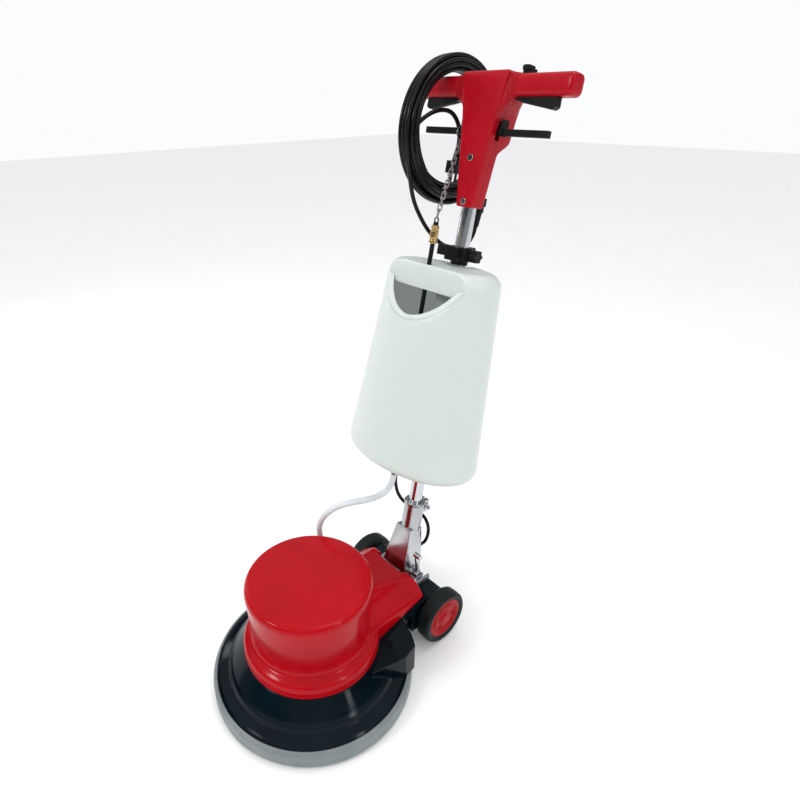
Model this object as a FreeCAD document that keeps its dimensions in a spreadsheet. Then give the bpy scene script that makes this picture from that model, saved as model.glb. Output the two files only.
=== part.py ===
"""Rotary floor machine: 17-inch single-disc scrubber with a planetary drive and a tilting handle.

Frame: origin on the floor under the disc's centre, +Z up, +Y towards the operator, +X to the right.
Pieces on the mast are drawn upright about the hinge pin, then leaned back by the tilt angle.
"""
import FreeCAD, Part
import math
import os

import Sketcher

from FreeCAD import Placement, Rotation, Vector

doc = FreeCAD.newDocument("floor_machine")
sheet = doc.addObject("Spreadsheet::Sheet", "Dims")
sheet.Label = "driving dimensions"

DRIVING = {
    # disc, deck and bumper
    "pad_radius": 203, "pad_depth": 22, "driver_depth": 14,
    "bumper_radius": 216, "deck_radius": 207, "deck_wall": 4.5, "deck_top": 98, "deck_hole": 84,
    # motor cover
    "cover_radius": 132, "cover_skirt": 145, "cover_top": 268, "cover_wall": 3.5,
    # planetary drive
    "gear_module": 1.25, "sun_teeth": 13, "planet_teeth": 41, "ring_teeth": 95, "gear_width": 12,
    "gear_floor": 82, "shaft_radius": 12.5, "rotor_shaft_radius": 10,
    # motor
    "stator_radius": 84, "stator_bore": 50, "stator_floor": 134, "stator_height": 56, "air_gap": 0.6,
    # wheels
    "axle_back": 275, "axle_height": 66, "axle_radius": 7, "tyre_radius": 63.5, "tyre_width": 36,
    "hub_radius": 47, "wheel_face": 140,
    # hinge and mast
    "hinge_back": 274, "hinge_height": 131, "tilt_angle": 10.8, "pin_radius": 8,
    "tube_radius": 15, "tube_wall": 1.5, "tube_foot": 100, "tube_tip": 1010, "sleeve_top": 178,
    # solution tank
    "tank_foot": 304, "tank_head": 722, "tank_wall": 4,
    "tank_wide_low": 160, "tank_deep_low": 114, "tank_wide_top": 123, "tank_deep_top": 87,
    "tank_ahead_low": 48, "tank_ahead_top": 40, "rod_ahead": 80, "rod_side": 8, "rod_radius": 4.5,
    # handle
    "head_foot": 834, "head_top": 1076, "head_half_low": 18, "head_half_top": 49, "head_wall": 3,
    "grip_half_span": 177, "grip_low": 1033, "grip_high": 1073, "grip_depth": 37,
    "lever_height": 974, "lever_half_span": 142,
    # cables
    "mains_diameter": 8.5, "motor_cable_diameter": 8, "hose_diameter": 14,
    "coil_radius": 127.5, "coil_bundle": 21.5, "coil_side": 100,
}


class Size:
    """A dimension worked out from the driving ones: its number, and its expression."""

    def __init__(self, value, text):
        self.value = value
        self.text = text

    def __add__(self, other):
        other = as_size(other)
        return Size(self.value + other.value, f"({self.text} + {other.text})")

    def __sub__(self, other):
        other = as_size(other)
        return Size(self.value - other.value, f"({self.text} - {other.text})")

    def __mul__(self, other):
        other = as_size(other)
        return Size(self.value * other.value, f"({self.text} * {other.text})")

    def __truediv__(self, other):
        other = as_size(other)
        return Size(self.value / other.value, f"({self.text} / {other.text})")

    def __radd__(self, other):
        return as_size(other) + self

    def __rsub__(self, other):
        return as_size(other) - self

    def __rmul__(self, other):
        return as_size(other) * self

    def __neg__(self):
        return 0 - self


def as_size(number):
    return number if isinstance(number, Size) else Size(number, f"({number})")


class Driving:
    """The spreadsheet's aliases as attributes."""


dim = Driving()
for row, (alias, number) in enumerate(DRIVING.items(), start=1):
    sheet.set(f"A{row}", alias.replace("_", " "))
    sheet.set(f"B{row}", str(number))
    sheet.setAlias(f"B{row}", alias)
    setattr(dim, alias, Size(number, f"Dims.{alias}"))
doc.recompute()

NODES = {}
TILT = math.radians(dim.tilt_angle.value)
HINGE = Vector(0, dim.hinge_back.value, dim.hinge_height.value)


# ---------------------------------------------------------------- helpers

def bind(thing, prop, size):
    """Ties one property to the sheet."""
    size = as_size(size)
    thing.setExpression(prop, size.text)


def place(thing, corner=(0, 0, 0), rotation=None):
    """Puts a primitive at a corner or centre whose coordinates are sizes."""
    corner = [as_size(c) for c in corner]
    spin = rotation or Rotation()
    thing.Placement = Placement(Vector(*[c.value for c in corner]), spin)
    for axis, size in zip("xyz", corner):
        bind(thing, f"Placement.Base.{axis}", size)
    return thing


TURN = {
    "z": Rotation(),
    "x": Rotation(Vector(0, 1, 0), 90),
    "y": Rotation(Vector(1, 0, 0), -90),
}


def cylinder(name, radius, length, base=(0, 0, 0), axis="z"):
    piece = doc.addObject("Part::Cylinder", name)
    bind(piece, "Radius", radius)
    bind(piece, "Height", length)
    return place(piece, base, TURN[axis])


def cone(name, radius_low, radius_high, length, base=(0, 0, 0), axis="z"):
    piece = doc.addObject("Part::Cone", name)
    bind(piece, "Radius1", radius_low)
    bind(piece, "Radius2", radius_high)
    bind(piece, "Height", length)
    return place(piece, base, TURN[axis])


def torus(name, radius, thickness, centre, axis="z"):
    piece = doc.addObject("Part::Torus", name)
    bind(piece, "Radius1", radius)
    bind(piece, "Radius2", thickness)
    return place(piece, centre, TURN[axis])


def box(name, low, high):
    low = [as_size(c) for c in low]
    high = [as_size(c) for c in high]
    piece = doc.addObject("Part::Box", name)
    for prop, start, end in zip(("Length", "Width", "Height"), low, high):
        bind(piece, prop, end - start)
    return place(piece, low)


def frustum(name, low_rect, high_rect, low, high):
    """A block whose x and y limits change from low_rect at z=low to high_rect at z=high."""
    piece = doc.addObject("Part::Wedge", name)
    (x1, x2, y1, y2), (x3, x4, y3, y4) = low_rect, high_rect
    values = {
        "Xmin": x1, "Xmax": x2, "Zmin": -as_size(y2), "Zmax": -as_size(y1), "Ymin": low,
        "X2min": x3, "X2max": x4, "Z2min": -as_size(y4), "Z2max": -as_size(y3), "Ymax": high,
    }
    for prop, size in values.items():
        setattr(piece, prop, as_size(size).value)
    for prop, size in values.items():
        bind(piece, prop, size)
    piece.Placement = Placement(Vector(0, 0, 0), Rotation(Vector(1, 0, 0), 90))
    return piece


def cut(name, base, tool):
    piece = doc.addObject("Part::Cut", name)
    piece.Base = base
    piece.Tool = tool
    return piece


def fuse(name, *pieces):
    piece = doc.addObject("Part::MultiFuse", name)
    piece.Shapes = list(pieces)
    return piece


def common(name, *pieces):
    piece = doc.addObject("Part::MultiCommon", name)
    piece.Shapes = list(pieces)
    return piece


def rounded(name, base, radius, choose):
    """Part::Fillet on the edges that choose(edge) picks."""
    doc.recompute()
    radius = as_size(radius).value
    numbers = [n for n, edge in enumerate(base.Shape.Edges, start=1) if choose(edge)]
    piece = doc.addObject("Part::Fillet", name)
    piece.Base = base
    piece.Edges = [(n, radius, radius) for n in numbers]
    return piece


def circle_at(*marks, slack=0.6):
    """Picks whole round edges about the z axis by (radius, z)."""
    def choose(edge):
        if not isinstance(edge.Curve, Part.Circle):
            return False
        middle = edge.Curve.Center
        return any(
            abs(edge.Curve.Radius - r) < slack
            and abs(middle.z - z) < slack
            and middle.Length - abs(middle.z) < slack
            for r, z in marks
        )
    return choose


ROLES = {"xy": "XY_Plane", "xz": "XZ_Plane", "yz": "YZ_Plane"}


def outline(body, plane, corners):
    """A closed sketch of straight sides, each corner dimensioned from the origin."""
    corners = [(as_size(a), as_size(b)) for a, b in corners]
    sketch = body.newObject("Sketcher::SketchObject", f"{body.Name}_outline")
    datum = [feature for feature in body.Origin.OriginFeatures if feature.Role == ROLES[plane]][0]
    sketch.AttachmentSupport = [(datum, "")]
    sketch.MapMode = "FlatFace"
    points = [Vector(a.value, b.value, 0) for a, b in corners]
    for start, end in zip(points, points[1:] + points[:1]):
        sketch.addGeometry(Part.LineSegment(start, end), False)
    count = len(points)
    for side in range(count):
        sketch.addConstraint(Sketcher.Constraint("Coincident", side, 2, (side + 1) % count, 1))
    for side, (a, b) in enumerate(corners):
        for kind, size, axis in (("DistanceX", a, -2), ("DistanceY", b, -1)):
            if abs(size.value) < 1e-9:
                sketch.addConstraint(Sketcher.Constraint("PointOnObject", side, 1, axis))
            else:
                index = sketch.addConstraint(Sketcher.Constraint(kind, -1, 1, side, 1, size.value))
                sketch.setExpression(f"Constraints[{index}]", size.text)
    return sketch


def turned(name, corners):
    """A PartDesign body turned about the z axis from an (r, z) outline."""
    body = doc.addObject("PartDesign::Body", name)
    sketch = outline(body, "xz", corners)
    feature = body.newObject("PartDesign::Revolution", f"{name}_turning")
    feature.Profile = sketch
    feature.ReferenceAxis = (sketch, ["V_Axis"])
    feature.Angle = 360
    return body


def plate(name, plane, corners, thickness, offset=0):
    """A PartDesign body padded from an outline, from offset along the plane's normal."""
    body = doc.addObject("PartDesign::Body", name)
    sketch = outline(body, plane, corners)
    feature = body.newObject("PartDesign::Pad", f"{name}_pad")
    feature.Profile = sketch
    bind(feature, "Length", thickness)
    axis = {"xy": "z", "xz": "y", "yz": "x"}[plane]
    offset = as_size(offset)
    if plane == "xz":
        feature.Reversed = True
    bind(body, f"Placement.Base.{axis}", offset)
    return body


def shaped(name, shape):
    """A Part::Feature for a shape that no primitive or sketch gives."""
    piece = doc.addObject("Part::Feature", name)
    piece.Shape = shape
    return piece


def node(name, piece, leaning=False):
    """Names a finished sub-part; one on the mast leans back about the hinge pin."""
    piece.Label = name
    if leaning:
        own = piece.Placement
        lean = Placement(HINGE, Rotation(Vector(1, 0, 0), -dim.tilt_angle.value))
        piece.Placement = lean.multiply(own)
    NODES[name] = piece
    return piece


def on_mast(x, v, w):
    """Mast coordinates (right, back, along the tube) as a point of the machine."""
    return Vector(
        x,
        HINGE.y + v * math.cos(TILT) + w * math.sin(TILT),
        HINGE.z - v * math.sin(TILT) + w * math.cos(TILT),
    )


def ring_of(name, radius, hole, height, base):
    """A plain tube about the z axis."""
    outer = cylinder(f"{name}_outer", radius, height, base)
    inner = cylinder(f"{name}_inner", hole, height, base)
    return cut(name, outer, inner)


# ---------------------------------------------------------------- brush, driver and planetary drive

PRESSURE = math.radians(20)
ADDENDUM = 0.8
DEDENDUM = 1.05
BACKLASH = 0.12
FLANK_STEPS = 4


def involute_angle(radius, base_radius):
    """How far round an involute has unwound at a radius."""
    if radius <= base_radius:
        return 0.0
    pressure = math.acos(base_radius / radius)
    return math.tan(pressure) - pressure


def gear_wire(teeth, phase=0.0, internal=False):
    """The closed outline of a spur gear with one tooth centred at the phase angle."""
    module = dim.gear_module.value
    pitch_radius = module * teeth / 2
    base_radius = pitch_radius * math.cos(PRESSURE)
    reach = -1 if internal else 1
    tip = pitch_radius + reach * ADDENDUM * module
    root = pitch_radius - reach * DEDENDUM * module
    half = math.pi / (2 * teeth) - BACKLASH / (2 * pitch_radius)
    at_pitch = involute_angle(pitch_radius, base_radius)
    points = []
    for tooth in range(teeth):
        centre = phase + tooth * 2 * math.pi / teeth
        flank = []
        for step in range(FLANK_STEPS):
            radius = root + (tip - root) * step / (FLANK_STEPS - 1)
            drift = at_pitch - involute_angle(radius, base_radius)
            flank.append((radius, half + reach * drift))
        leading = [(r, centre - a) for r, a in flank]
        trailing = [(r, centre + a) for r, a in reversed(flank)]
        points += [Vector(r * math.cos(a), r * math.sin(a), 0) for r, a in leading + trailing]
    return Part.makePolygon(points + points[:1])


def gear_solid(teeth, phase, bore, floor, width):
    blank = Part.Face(gear_wire(teeth, phase)).extrude(Vector(0, 0, width))
    hole = Part.makeCylinder(bore, width)
    solid = blank.cut(hole)
    solid.translate(Vector(0, 0, floor))
    return solid


pad_outer = cylinder("pad_outer", dim.pad_radius, dim.pad_depth)
pad_round = rounded("pad_round", pad_outer, 3, circle_at((dim.pad_radius.value, dim.pad_depth.value)))
node("floor_pad", pad_round)

driver_top = dim.pad_depth + dim.driver_depth
driver_radius = dim.pad_radius - 5
node("pad_driver", turned("pad_driver", [
    (0, dim.pad_depth), (driver_radius, dim.pad_depth), (driver_radius, dim.pad_depth + 8),
    (driver_radius - 8, dim.pad_depth + 9), (75, dim.pad_depth + 9), (66, driver_top), (0, driver_top),
]))

LUG_COUNT = 3
LUG_CIRCLE = 44
plate_disc = cylinder("plate_disc", 62, 6, (0, 0, driver_top))
plate_lugs = [
    cylinder(f"plate_lug_{n}", 9, 10, (
        LUG_CIRCLE * math.cos(n * 2 * math.pi / LUG_COUNT),
        LUG_CIRCLE * math.sin(n * 2 * math.pi / LUG_COUNT),
        driver_top,
    ))
    for n in range(LUG_COUNT)
]
node("drive_plate", fuse("drive_plate_body", plate_disc, *plate_lugs))
plate_top = driver_top + 6

# The carrier: output shaft, flange and three planet seats.
planet_circle = dim.gear_module * (dim.sun_teeth + dim.planet_teeth) / 2
carrier_top = dim.gear_floor - 1
carrier_floor = carrier_top - 6
PLANET_ANGLES = [math.pi / 2 + n * 2 * math.pi / 3 for n in range(3)]
PIN_RADIUS = 6
shaft = cylinder("output_shaft", dim.shaft_radius, carrier_floor - plate_top, (0, 0, plate_top))
flange = cylinder("carrier_flange", 46, carrier_top - carrier_floor, (0, 0, carrier_floor))
shaft_and_flange = fuse("carrier_blank", shaft, flange)
planet_spots = [
    (planet_circle * math.cos(angle), planet_circle * math.sin(angle)) for angle in PLANET_ANGLES
]
seats = fuse("pin_seats", *[
    cylinder(f"pin_seat_{n}", PIN_RADIUS, 10, (x, y, carrier_floor))
    for n, (x, y) in enumerate(planet_spots)
])
node("planet_carrier", cut("carrier", shaft_and_flange, seats))
node("planet_pins", fuse("pins", *[
    cylinder(f"pin_{n}", PIN_RADIUS, dim.gear_floor + dim.gear_width + 2 - carrier_floor,
             (x, y, carrier_floor))
    for n, (x, y) in enumerate(planet_spots)
]))

zs, zp, zr = (int(size.value) for size in (dim.sun_teeth, dim.planet_teeth, dim.ring_teeth))
for number, angle in enumerate(PLANET_ANGLES, start=1):
    turn = angle + math.pi - math.pi / zp + angle * zs / zp
    planet = shaped(f"planet_{number}", gear_solid(zp, turn, PIN_RADIUS + 0.05, 0, dim.gear_width.value))
    spot_x, spot_y = planet_spots[number - 1]
    place(planet, (spot_x, spot_y, dim.gear_floor))
    node(f"planet_gear_{number}", planet)

RING_RIM = 70
ring_disc = Part.makeCylinder(RING_RIM, dim.gear_width.value + 2)
ring_gap = Part.Face(gear_wire(zr, math.pi * zp / zr, internal=True)).extrude(
    Vector(0, 0, dim.gear_width.value + 2)
)
ring = shaped("ring", ring_disc.cut(ring_gap))
place(ring, (0, 0, dim.gear_floor - 1))
node("ring_gear", ring)
gear_top = dim.gear_floor + dim.gear_width + 1

# Rotor: its shaft ends in the sun gear.
rotor_floor = dim.stator_floor
rotor_top = dim.stator_floor + dim.stator_height
sun = shaped("sun_teeth", Part.Face(gear_wire(zs)).extrude(Vector(0, 0, dim.gear_width.value + 4)))
place(sun, (0, 0, dim.gear_floor - 0.4))
shaft_tip = 240
rotor_rod = cylinder("rotor_rod", dim.rotor_shaft_radius, shaft_tip - gear_top - 2, (0, 0, gear_top + 2))
node("rotor_shaft", fuse("rotor_shaft_body", sun, rotor_rod))
rotor_radius = dim.stator_bore - dim.air_gap
node("rotor_core", ring_of("rotor_core_body", rotor_radius, dim.rotor_shaft_radius, rotor_top - rotor_floor,
                           (0, 0, rotor_floor)))

FAN_BLADES = 9
fan_floor = 223
fan_disc = ring_of("fan_disc", 68, dim.rotor_shaft_radius, 3, (0, 0, fan_floor))
fan_hub = ring_of("fan_hub", 18, dim.rotor_shaft_radius, 14, (0, 0, fan_floor))
fan_blades = []
for blade in range(FAN_BLADES):
    vane = box(f"fan_blade_{blade}", (26, -1.2, fan_floor + 2), (66, 1.2, fan_floor + 15))
    turn = Rotation(Vector(0, 0, 1), blade * 360 / FAN_BLADES)
    for axis in "xyz":
        vane.setExpression(f"Placement.Base.{axis}", None)
    vane.Placement = Placement(Vector(), turn).multiply(vane.Placement)
    fan_blades.append(vane)
node("cooling_fan", fuse("fan_body", fan_disc, fan_hub, *fan_blades))

# Gearbox housing: a cup hung through the deck, with the output bearing in its floor.
cup_floor = 55
BEARING_RIM = 26
bearing_height = 14
node("gearbox_housing", turned("gearbox_housing", [
    (14, cup_floor), (64, cup_floor), (79, cup_floor + 14), (79, dim.deck_top), (98, dim.deck_top),
    (98, dim.deck_top + 6), (RING_RIM, dim.deck_top + 6), (RING_RIM, dim.gear_floor - 1),
    (60, dim.gear_floor - 1), (60, cup_floor + 17.5), (BEARING_RIM, cup_floor + 17.5),
    (BEARING_RIM, cup_floor + 3), (14, cup_floor + 3),
]))
node("output_bearing", ring_of("output_race", BEARING_RIM, dim.shaft_radius + 0.05, bearing_height,
                               (0, 0, cup_floor + 3)))

# ---------------------------------------------------------------- motor

bell_floor = dim.deck_top + 6
bell_top = bell_floor + 14
ROTOR_BEARING_RIM = 23.5
node("lower_end_bell", turned("lower_end_bell", [
    (12, bell_floor), (98, bell_floor), (98, bell_floor + 5), (90.5, bell_top), (60, bell_top),
    (55, bell_floor + 7), (34, bell_floor + 7), (32, bell_top), (ROTOR_BEARING_RIM, bell_top),
    (ROTOR_BEARING_RIM, bell_floor + 2), (12, bell_floor + 2),
]))
shell_top = rotor_top + 16
upper_top = shell_top + 14
node("upper_end_bell", turned("upper_end_bell", [
    (12, upper_top), (ROTOR_BEARING_RIM + 8, upper_top), (ROTOR_BEARING_RIM + 12, upper_top - 8),
    (80, upper_top - 8), (90.5, shell_top + 3), (90.5, shell_top), (55, shell_top), (50, shell_top + 2),
    (34, shell_top + 2), (34, shell_top - 2), (ROTOR_BEARING_RIM, shell_top - 2),
    (ROTOR_BEARING_RIM, shell_top + 12), (12, shell_top + 12),
]))
races = [
    ring_of(f"rotor_race_{name}", ROTOR_BEARING_RIM, dim.rotor_shaft_radius + 0.05, 12, (0, 0, start))
    for name, start in (("low", bell_floor + 2), ("high", shell_top - 1))
]
node("rotor_bearings", fuse("rotor_races", *races))
node("motor_shell", ring_of("motor_tube", dim.stator_radius + 6, dim.stator_radius, shell_top - bell_top,
                            (0, 0, bell_top)))
node("stator_core", ring_of("stator_stack", dim.stator_radius, dim.stator_bore, rotor_top - rotor_floor,
                            (0, 0, rotor_floor)))
coil_ends = [
    ring_of(f"winding_{name}", dim.stator_radius - 5, dim.stator_bore + 4, 12, (0, 0, start))
    for name, start in (("low", rotor_floor - 12), ("high", rotor_top))
]
node("stator_winding", fuse("windings", *coil_ends))

CAPACITOR_RADIUS = 17
capacitor_floor = 113
capacitors = []
for side in (-1, 1):
    can = cylinder(f"capacitor_{side}", CAPACITOR_RADIUS, 48, (side * 38, 142, capacitor_floor))
    terminal = cylinder(f"terminal_{side}", 8, 4, (side * 38, 142, capacitor_floor + 48))
    capacitors.append(fuse(f"capacitor_can_{side}", can, terminal))
node("capacitors", fuse("capacitor_pair", *capacitors))

# ---------------------------------------------------------------- deck, bumper and cover

skirt = dim.cover_skirt
deck_edge = dim.deck_radius
deck_top = dim.deck_top
dish = turned("dish", [
    (dim.deck_hole, deck_top), (skirt, deck_top), (skirt + 5, deck_top - 6), (skirt + 27, 66), (178, 61),
    (183, 51), (deck_edge - 6, 43), (deck_edge, 38), (deck_edge, 24), (deck_edge - dim.deck_wall, 24),
    (deck_edge - dim.deck_wall, 35.5), (deck_edge - 8, 38), (180, 46), (175, 56.5), (skirt + 25, 61),
    (skirt + 2, deck_top - 10), (skirt - 6, deck_top - dim.deck_wall),
    (dim.deck_hole, deck_top - dim.deck_wall),
])

# The tail: a block, open below, that rises from the dish to carry the cover's rear end, hinge and wheels.
TAIL_REAR = 240
TAIL_RISE = 0.244
tail_start = 103


def tail_top(y):
    """Height of the tail's sloping top."""
    return deck_top.value - 0.5 + (y - tail_start) * TAIL_RISE


def tail_block(name, inset):
    """The tail block; with an inset, the hollow below its wall."""
    rear = TAIL_REAR - inset
    side = plate(f"{name}_side", "yz", [
        (40, 47 - inset), (150, 38 - inset), (200, 88 - inset), (rear, 88 - inset),
        (rear, tail_top(rear) - inset), (tail_start, tail_top(tail_start) - inset),
        (40, tail_top(tail_start) - inset),
    ], 400, -200)
    half_plan = [(150, 40), (169, 118), (166, 146), (143, 158), (98, 172), (98, rear)]
    right = [(x - inset, y - (inset if y > 140 else 0)) for x, y in half_plan[:-1]] + [(98 - inset, rear)]
    left = [(-x, y) for x, y in reversed(right)]
    plan = plate(f"{name}_plan", "xy", left + right, 200)
    return common(name, side, plan)


tail_round = tail_block("tail_outer", 0)
tail_hollow = tail_block("tail_hollow", dim.deck_wall.value)
below_dish = turned("dish_hollow", [
    (0, 10), (deck_edge - dim.deck_wall, 10), (deck_edge - dim.deck_wall, 35.5), (deck_edge - 8, 38),
    (180, 46), (175, 56.5), (skirt + 25, 61), (skirt + 2, deck_top - 10),
    (skirt - 6, deck_top - dim.deck_wall),
    (0, deck_top - dim.deck_wall),
])
arms = []
ARM_INNER = 62
ARM_OUTER = 101
ARM_REAR = 306
ARM_TOP = 116
for side in (-1, 1):
    low, high = sorted((side * ARM_INNER, side * ARM_OUTER))
    arm = box(f"arm_{side}", (low, 205, 44), (high, ARM_REAR, ARM_TOP))
    doc.recompute()
    arms.append(rounded(f"arm_round_{side}", arm, 16, lambda edge: (
        abs(edge.Curve.Direction.x) > 0.9 and edge.CenterOfMass.y > 250)))
axle_hole = cylinder("axle_hole", dim.axle_radius, 400, (-200, dim.axle_back, dim.axle_height), "x")
hub_hole = cylinder("deck_bore", dim.deck_hole, 60, (0, 0, 60))
FITTING_SPOT = (-122, 128)
fitting_hole = cylinder("fitting_hole", 8, 60, (*FITTING_SPOT, 60))
deck_blank = fuse("deck_blank", dish, tail_round, *arms)
deck_hollow = fuse("deck_hollow", below_dish, tail_hollow, axle_hole, hub_hole, fitting_hole)
node("deck", cut("deck_body", deck_blank, deck_hollow))

bumper_rim = dim.bumper_radius
node("bumper_ring", turned("bumper_ring", [
    (deck_edge, 4), (bumper_rim - 3, 4), (bumper_rim, 8), (bumper_rim, 33), (bumper_rim - 3, 39),
    (deck_edge + 1, 41), (deck_edge, 38),
]))

# Motor cover: a drum with a rolled top, a waist and a skirt, and a shroud over the capacitors behind it.
SHROUD_REAR = 242
SHROUD_RIDGE = 161


def cover_solid(name, inset):
    """The cover's outer form, or its hollow when inset by the wall."""
    top = dim.cover_top - inset
    rim = dim.cover_radius - inset
    drum = turned(f"{name}_drum", [
        (0, deck_top - inset), (dim.cover_skirt - inset, deck_top - inset), (dim.cover_skirt - inset, 117),
        (dim.cover_skirt - 3 - inset, 126), (dim.cover_skirt - 10 - inset, 132), (rim - 7 - inset, 138),
        (rim - 8, 146), (rim, top - 14), (rim - 2, top - 6), (rim - 8, top - 1.5), (rim - 22, top), (0, top),
    ])
    rear = SHROUD_REAR - inset
    side = plate(f"{name}_side", "yz", [
        (70, deck_top - inset), (tail_start + 3, tail_top(tail_start + 3) - inset),
        (TAIL_REAR, tail_top(TAIL_REAR) - inset), (rear, tail_top(TAIL_REAR) - inset),
        (rear, SHROUD_RIDGE - inset), (70, 203 - inset),
    ], 300, -150)
    front = plate(f"{name}_front", "xz", [
        (-100 + inset, 60), (100 - inset, 60), (100 - inset, 133 - inset), (62 - inset, 164 - inset),
        (46 - inset, 210), (-46 + inset, 210), (-62 + inset, 164 - inset), (-100 + inset, 133 - inset),
    ], 300, 0)
    shroud = common(f"{name}_shroud", side, front)
    return fuse(name, drum, shroud)


NOTCH_HALF = 43
cover_outer = cover_solid("cover_outer", 0)
cover_inner = cover_solid("cover_inner", dim.cover_wall.value)
notch = box("cover_notch", (-NOTCH_HALF, 227, 100), (NOTCH_HALF, 260, 180))
node("motor_cover", cut("cover_body", cover_outer, fuse("cover_hollow", cover_inner, notch, tail_round)))

# ---------------------------------------------------------------- wheels, hinge bracket and fittings

axle_y = dim.axle_back
axle_z = dim.axle_height
AXLE_HALF = 133
node("wheel_axle", cylinder("axle_rod", dim.axle_radius, 2 * AXLE_HALF, (-AXLE_HALF, axle_y, axle_z), "x"))


def wheel(side, sign):
    """One wheel's tyre and hub, turned about z and laid on the axle."""
    width = dim.tyre_width
    face = dim.wheel_face * sign
    turn = Rotation(Vector(0, 1, 0), 90 * sign)
    middle = width / 2
    tyre = turned(f"tyre_{side}", [
        (dim.hub_radius, -middle + 3), (dim.hub_radius + 8, -middle), (dim.tyre_radius - 5, -middle),
        (dim.tyre_radius - 0.8, -middle + 5), (dim.tyre_radius, 0), (dim.tyre_radius - 0.8, middle - 5),
        (dim.tyre_radius - 5, middle), (dim.hub_radius + 8, middle), (dim.hub_radius, middle - 3),
    ])
    hub = turned(f"hub_{side}", [
        (dim.axle_radius + 0.05, -middle - 1.5), (14, -middle - 1.5), (16, -middle + 8), (36, -middle + 8),
        (38, -middle + 3), (dim.hub_radius, -middle + 3), (dim.hub_radius, middle - 3), (40, middle - 1.5),
        (36, middle - 5), (20, middle - 5), (14, middle - 2), (0, middle - 2), (0, middle - 7),
        (dim.axle_radius + 0.05, middle - 7),
    ])
    for kind, piece in (("tyre", tyre), ("wheel_hub", hub)):
        piece.Placement = Placement(Vector(), turn)
        bind(piece, "Placement.Base.x", face - middle * sign)
        bind(piece, "Placement.Base.y", axle_y)
        bind(piece, "Placement.Base.z", axle_z)
        node(f"{kind}_{side}", piece)


wheel("left", -1)
wheel("right", 1)

# The hinge bracket: a plate on the tail's rear face with two cheeks for the pin.
pin_y = dim.hinge_back
pin_z = dim.hinge_height
CHEEK_INNER = 13
CHEEK_OUTER = 21
CHEEK_EYE = 19
plate_front = TAIL_REAR
plate_rear = TAIL_REAR + 6
bracket_parts = [box("bracket_plate", (-60, plate_front, 90), (60, plate_rear, 128))]
for sign in (-1, 1):
    low, high = sorted((sign * CHEEK_INNER, sign * CHEEK_OUTER))
    bracket_parts.append(box(f"cheek_arm_{sign}", (low, plate_rear, 100), (high, pin_y, pin_z + 6)))
    bracket_parts.append(cylinder(f"cheek_eye_{sign}", CHEEK_EYE, CHEEK_OUTER - CHEEK_INNER,
                                  (low, pin_y, pin_z), "x"))
    lug_low, lug_high = sorted((sign * 55.5, sign * 61.5))
    lug = box(f"bracket_lug_{sign}", (lug_low, plate_rear, 96), (lug_high, 300, 126))
    bracket_parts.append(lug)
bracket_holes = fuse(
    "bracket_holes",
    cylinder("bracket_pin_hole", dim.pin_radius, 80, (-40, pin_y, pin_z), "x"),
    cylinder("bracket_lug_hole", 4.5, 200, (-100, 290, 114), "x"),
    cylinder("bracket_cable_hole", 5.5, 20, (0, plate_front - 4, 104), "y"),
)
node("hinge_bracket", cut("bracket", fuse("bracket_blank", *bracket_parts), bracket_holes))

PIN_HALF = 43
pin_rod = cylinder("pin_rod", dim.pin_radius, 2 * PIN_HALF, (-PIN_HALF, pin_y, pin_z), "x")
pin_head = cylinder("pin_head", 13, 5, (-PIN_HALF - 5, pin_y, pin_z), "x")
node("hinge_pin", fuse("hinge_pin_body", pin_rod, pin_head))

fit_x, fit_y = FITTING_SPOT
node("hose_fitting", fuse(
    "hose_fitting_body",
    cylinder("fitting_stem", 8, 24, (fit_x, fit_y, 90)),
    cylinder("fitting_flange", 12, 4, (fit_x, fit_y, 107)),
    cylinder("fitting_barb", 5, 26, (fit_x, fit_y, 111)),
))
FITTING_TOP = 137

# ---------------------------------------------------------------- hinge casting and tube

SLEEVE_FOOT = 104
channel_outer = frustum("channel_outer", (-38, 38, -39, 18), (-22, 22, -24, 18), -20, SLEEVE_FOOT + 8)
channel_inner = frustum("channel_inner", (-31, 31, -33, 40), (-15.5, 15.5, -16, 40), -21, SLEEVE_FOOT)
channel_side = plate("channel_side", "yz", [
    (-39, 14), (-16, -12), (-6, -20), (8, -20), (20, -8), (20, 30), (14, SLEEVE_FOOT + 8),
    (-30, SLEEVE_FOOT + 8), (-39, 60),
], 100, -50)
casting_holes = [
    cylinder("sleeve_bore", dim.tube_radius, 200, (0, 0, dim.tube_foot)),
    cylinder("casting_pin_hole", dim.pin_radius + 0.05, 120, (-60, 0, 0), "x"),
    box("sleeve_slot", (-1.5, 10, 122), (1.5, 50, 200)),
    cylinder("clamp_bolt_hole", 4.05, 80, (-40, 27, 160), "x"),
]
casting_body = fuse(
    "casting_blank",
    common("channel_form", cut("channel", channel_outer, channel_inner), channel_side),
    cylinder("sleeve", 23, dim.sleeve_top - SLEEVE_FOOT, (0, 0, SLEEVE_FOOT)),
    torus("sleeve_rim", 21, 4, (0, 0, dim.sleeve_top - 4)),
    box("clamp_lugs", (-12, 15, 144), (12, 36, 174)),
    cylinder("eye_left", 17, 9, (-40, 0, 0), "x"),
    cylinder("eye_right", 17, 9, (31, 0, 0), "x"),
    frustum("spine", (-4, 4, 12, 20), (-4, 4, 14, 32), 60, 144),
)
node("hinge_casting", cut("casting", casting_body, fuse("casting_holes", *casting_holes)), leaning=True)

node("sleeve_bolt", fuse(
    "sleeve_bolt_body",
    cylinder("bolt_shank", 4, 46, (-20, 27, 160), "x"),
    cylinder("bolt_head", 8, 6, (12, 27, 160), "x"),
    cylinder("bolt_nut", 7, 6, (-18, 27, 160), "x"),
), leaning=True)

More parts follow.
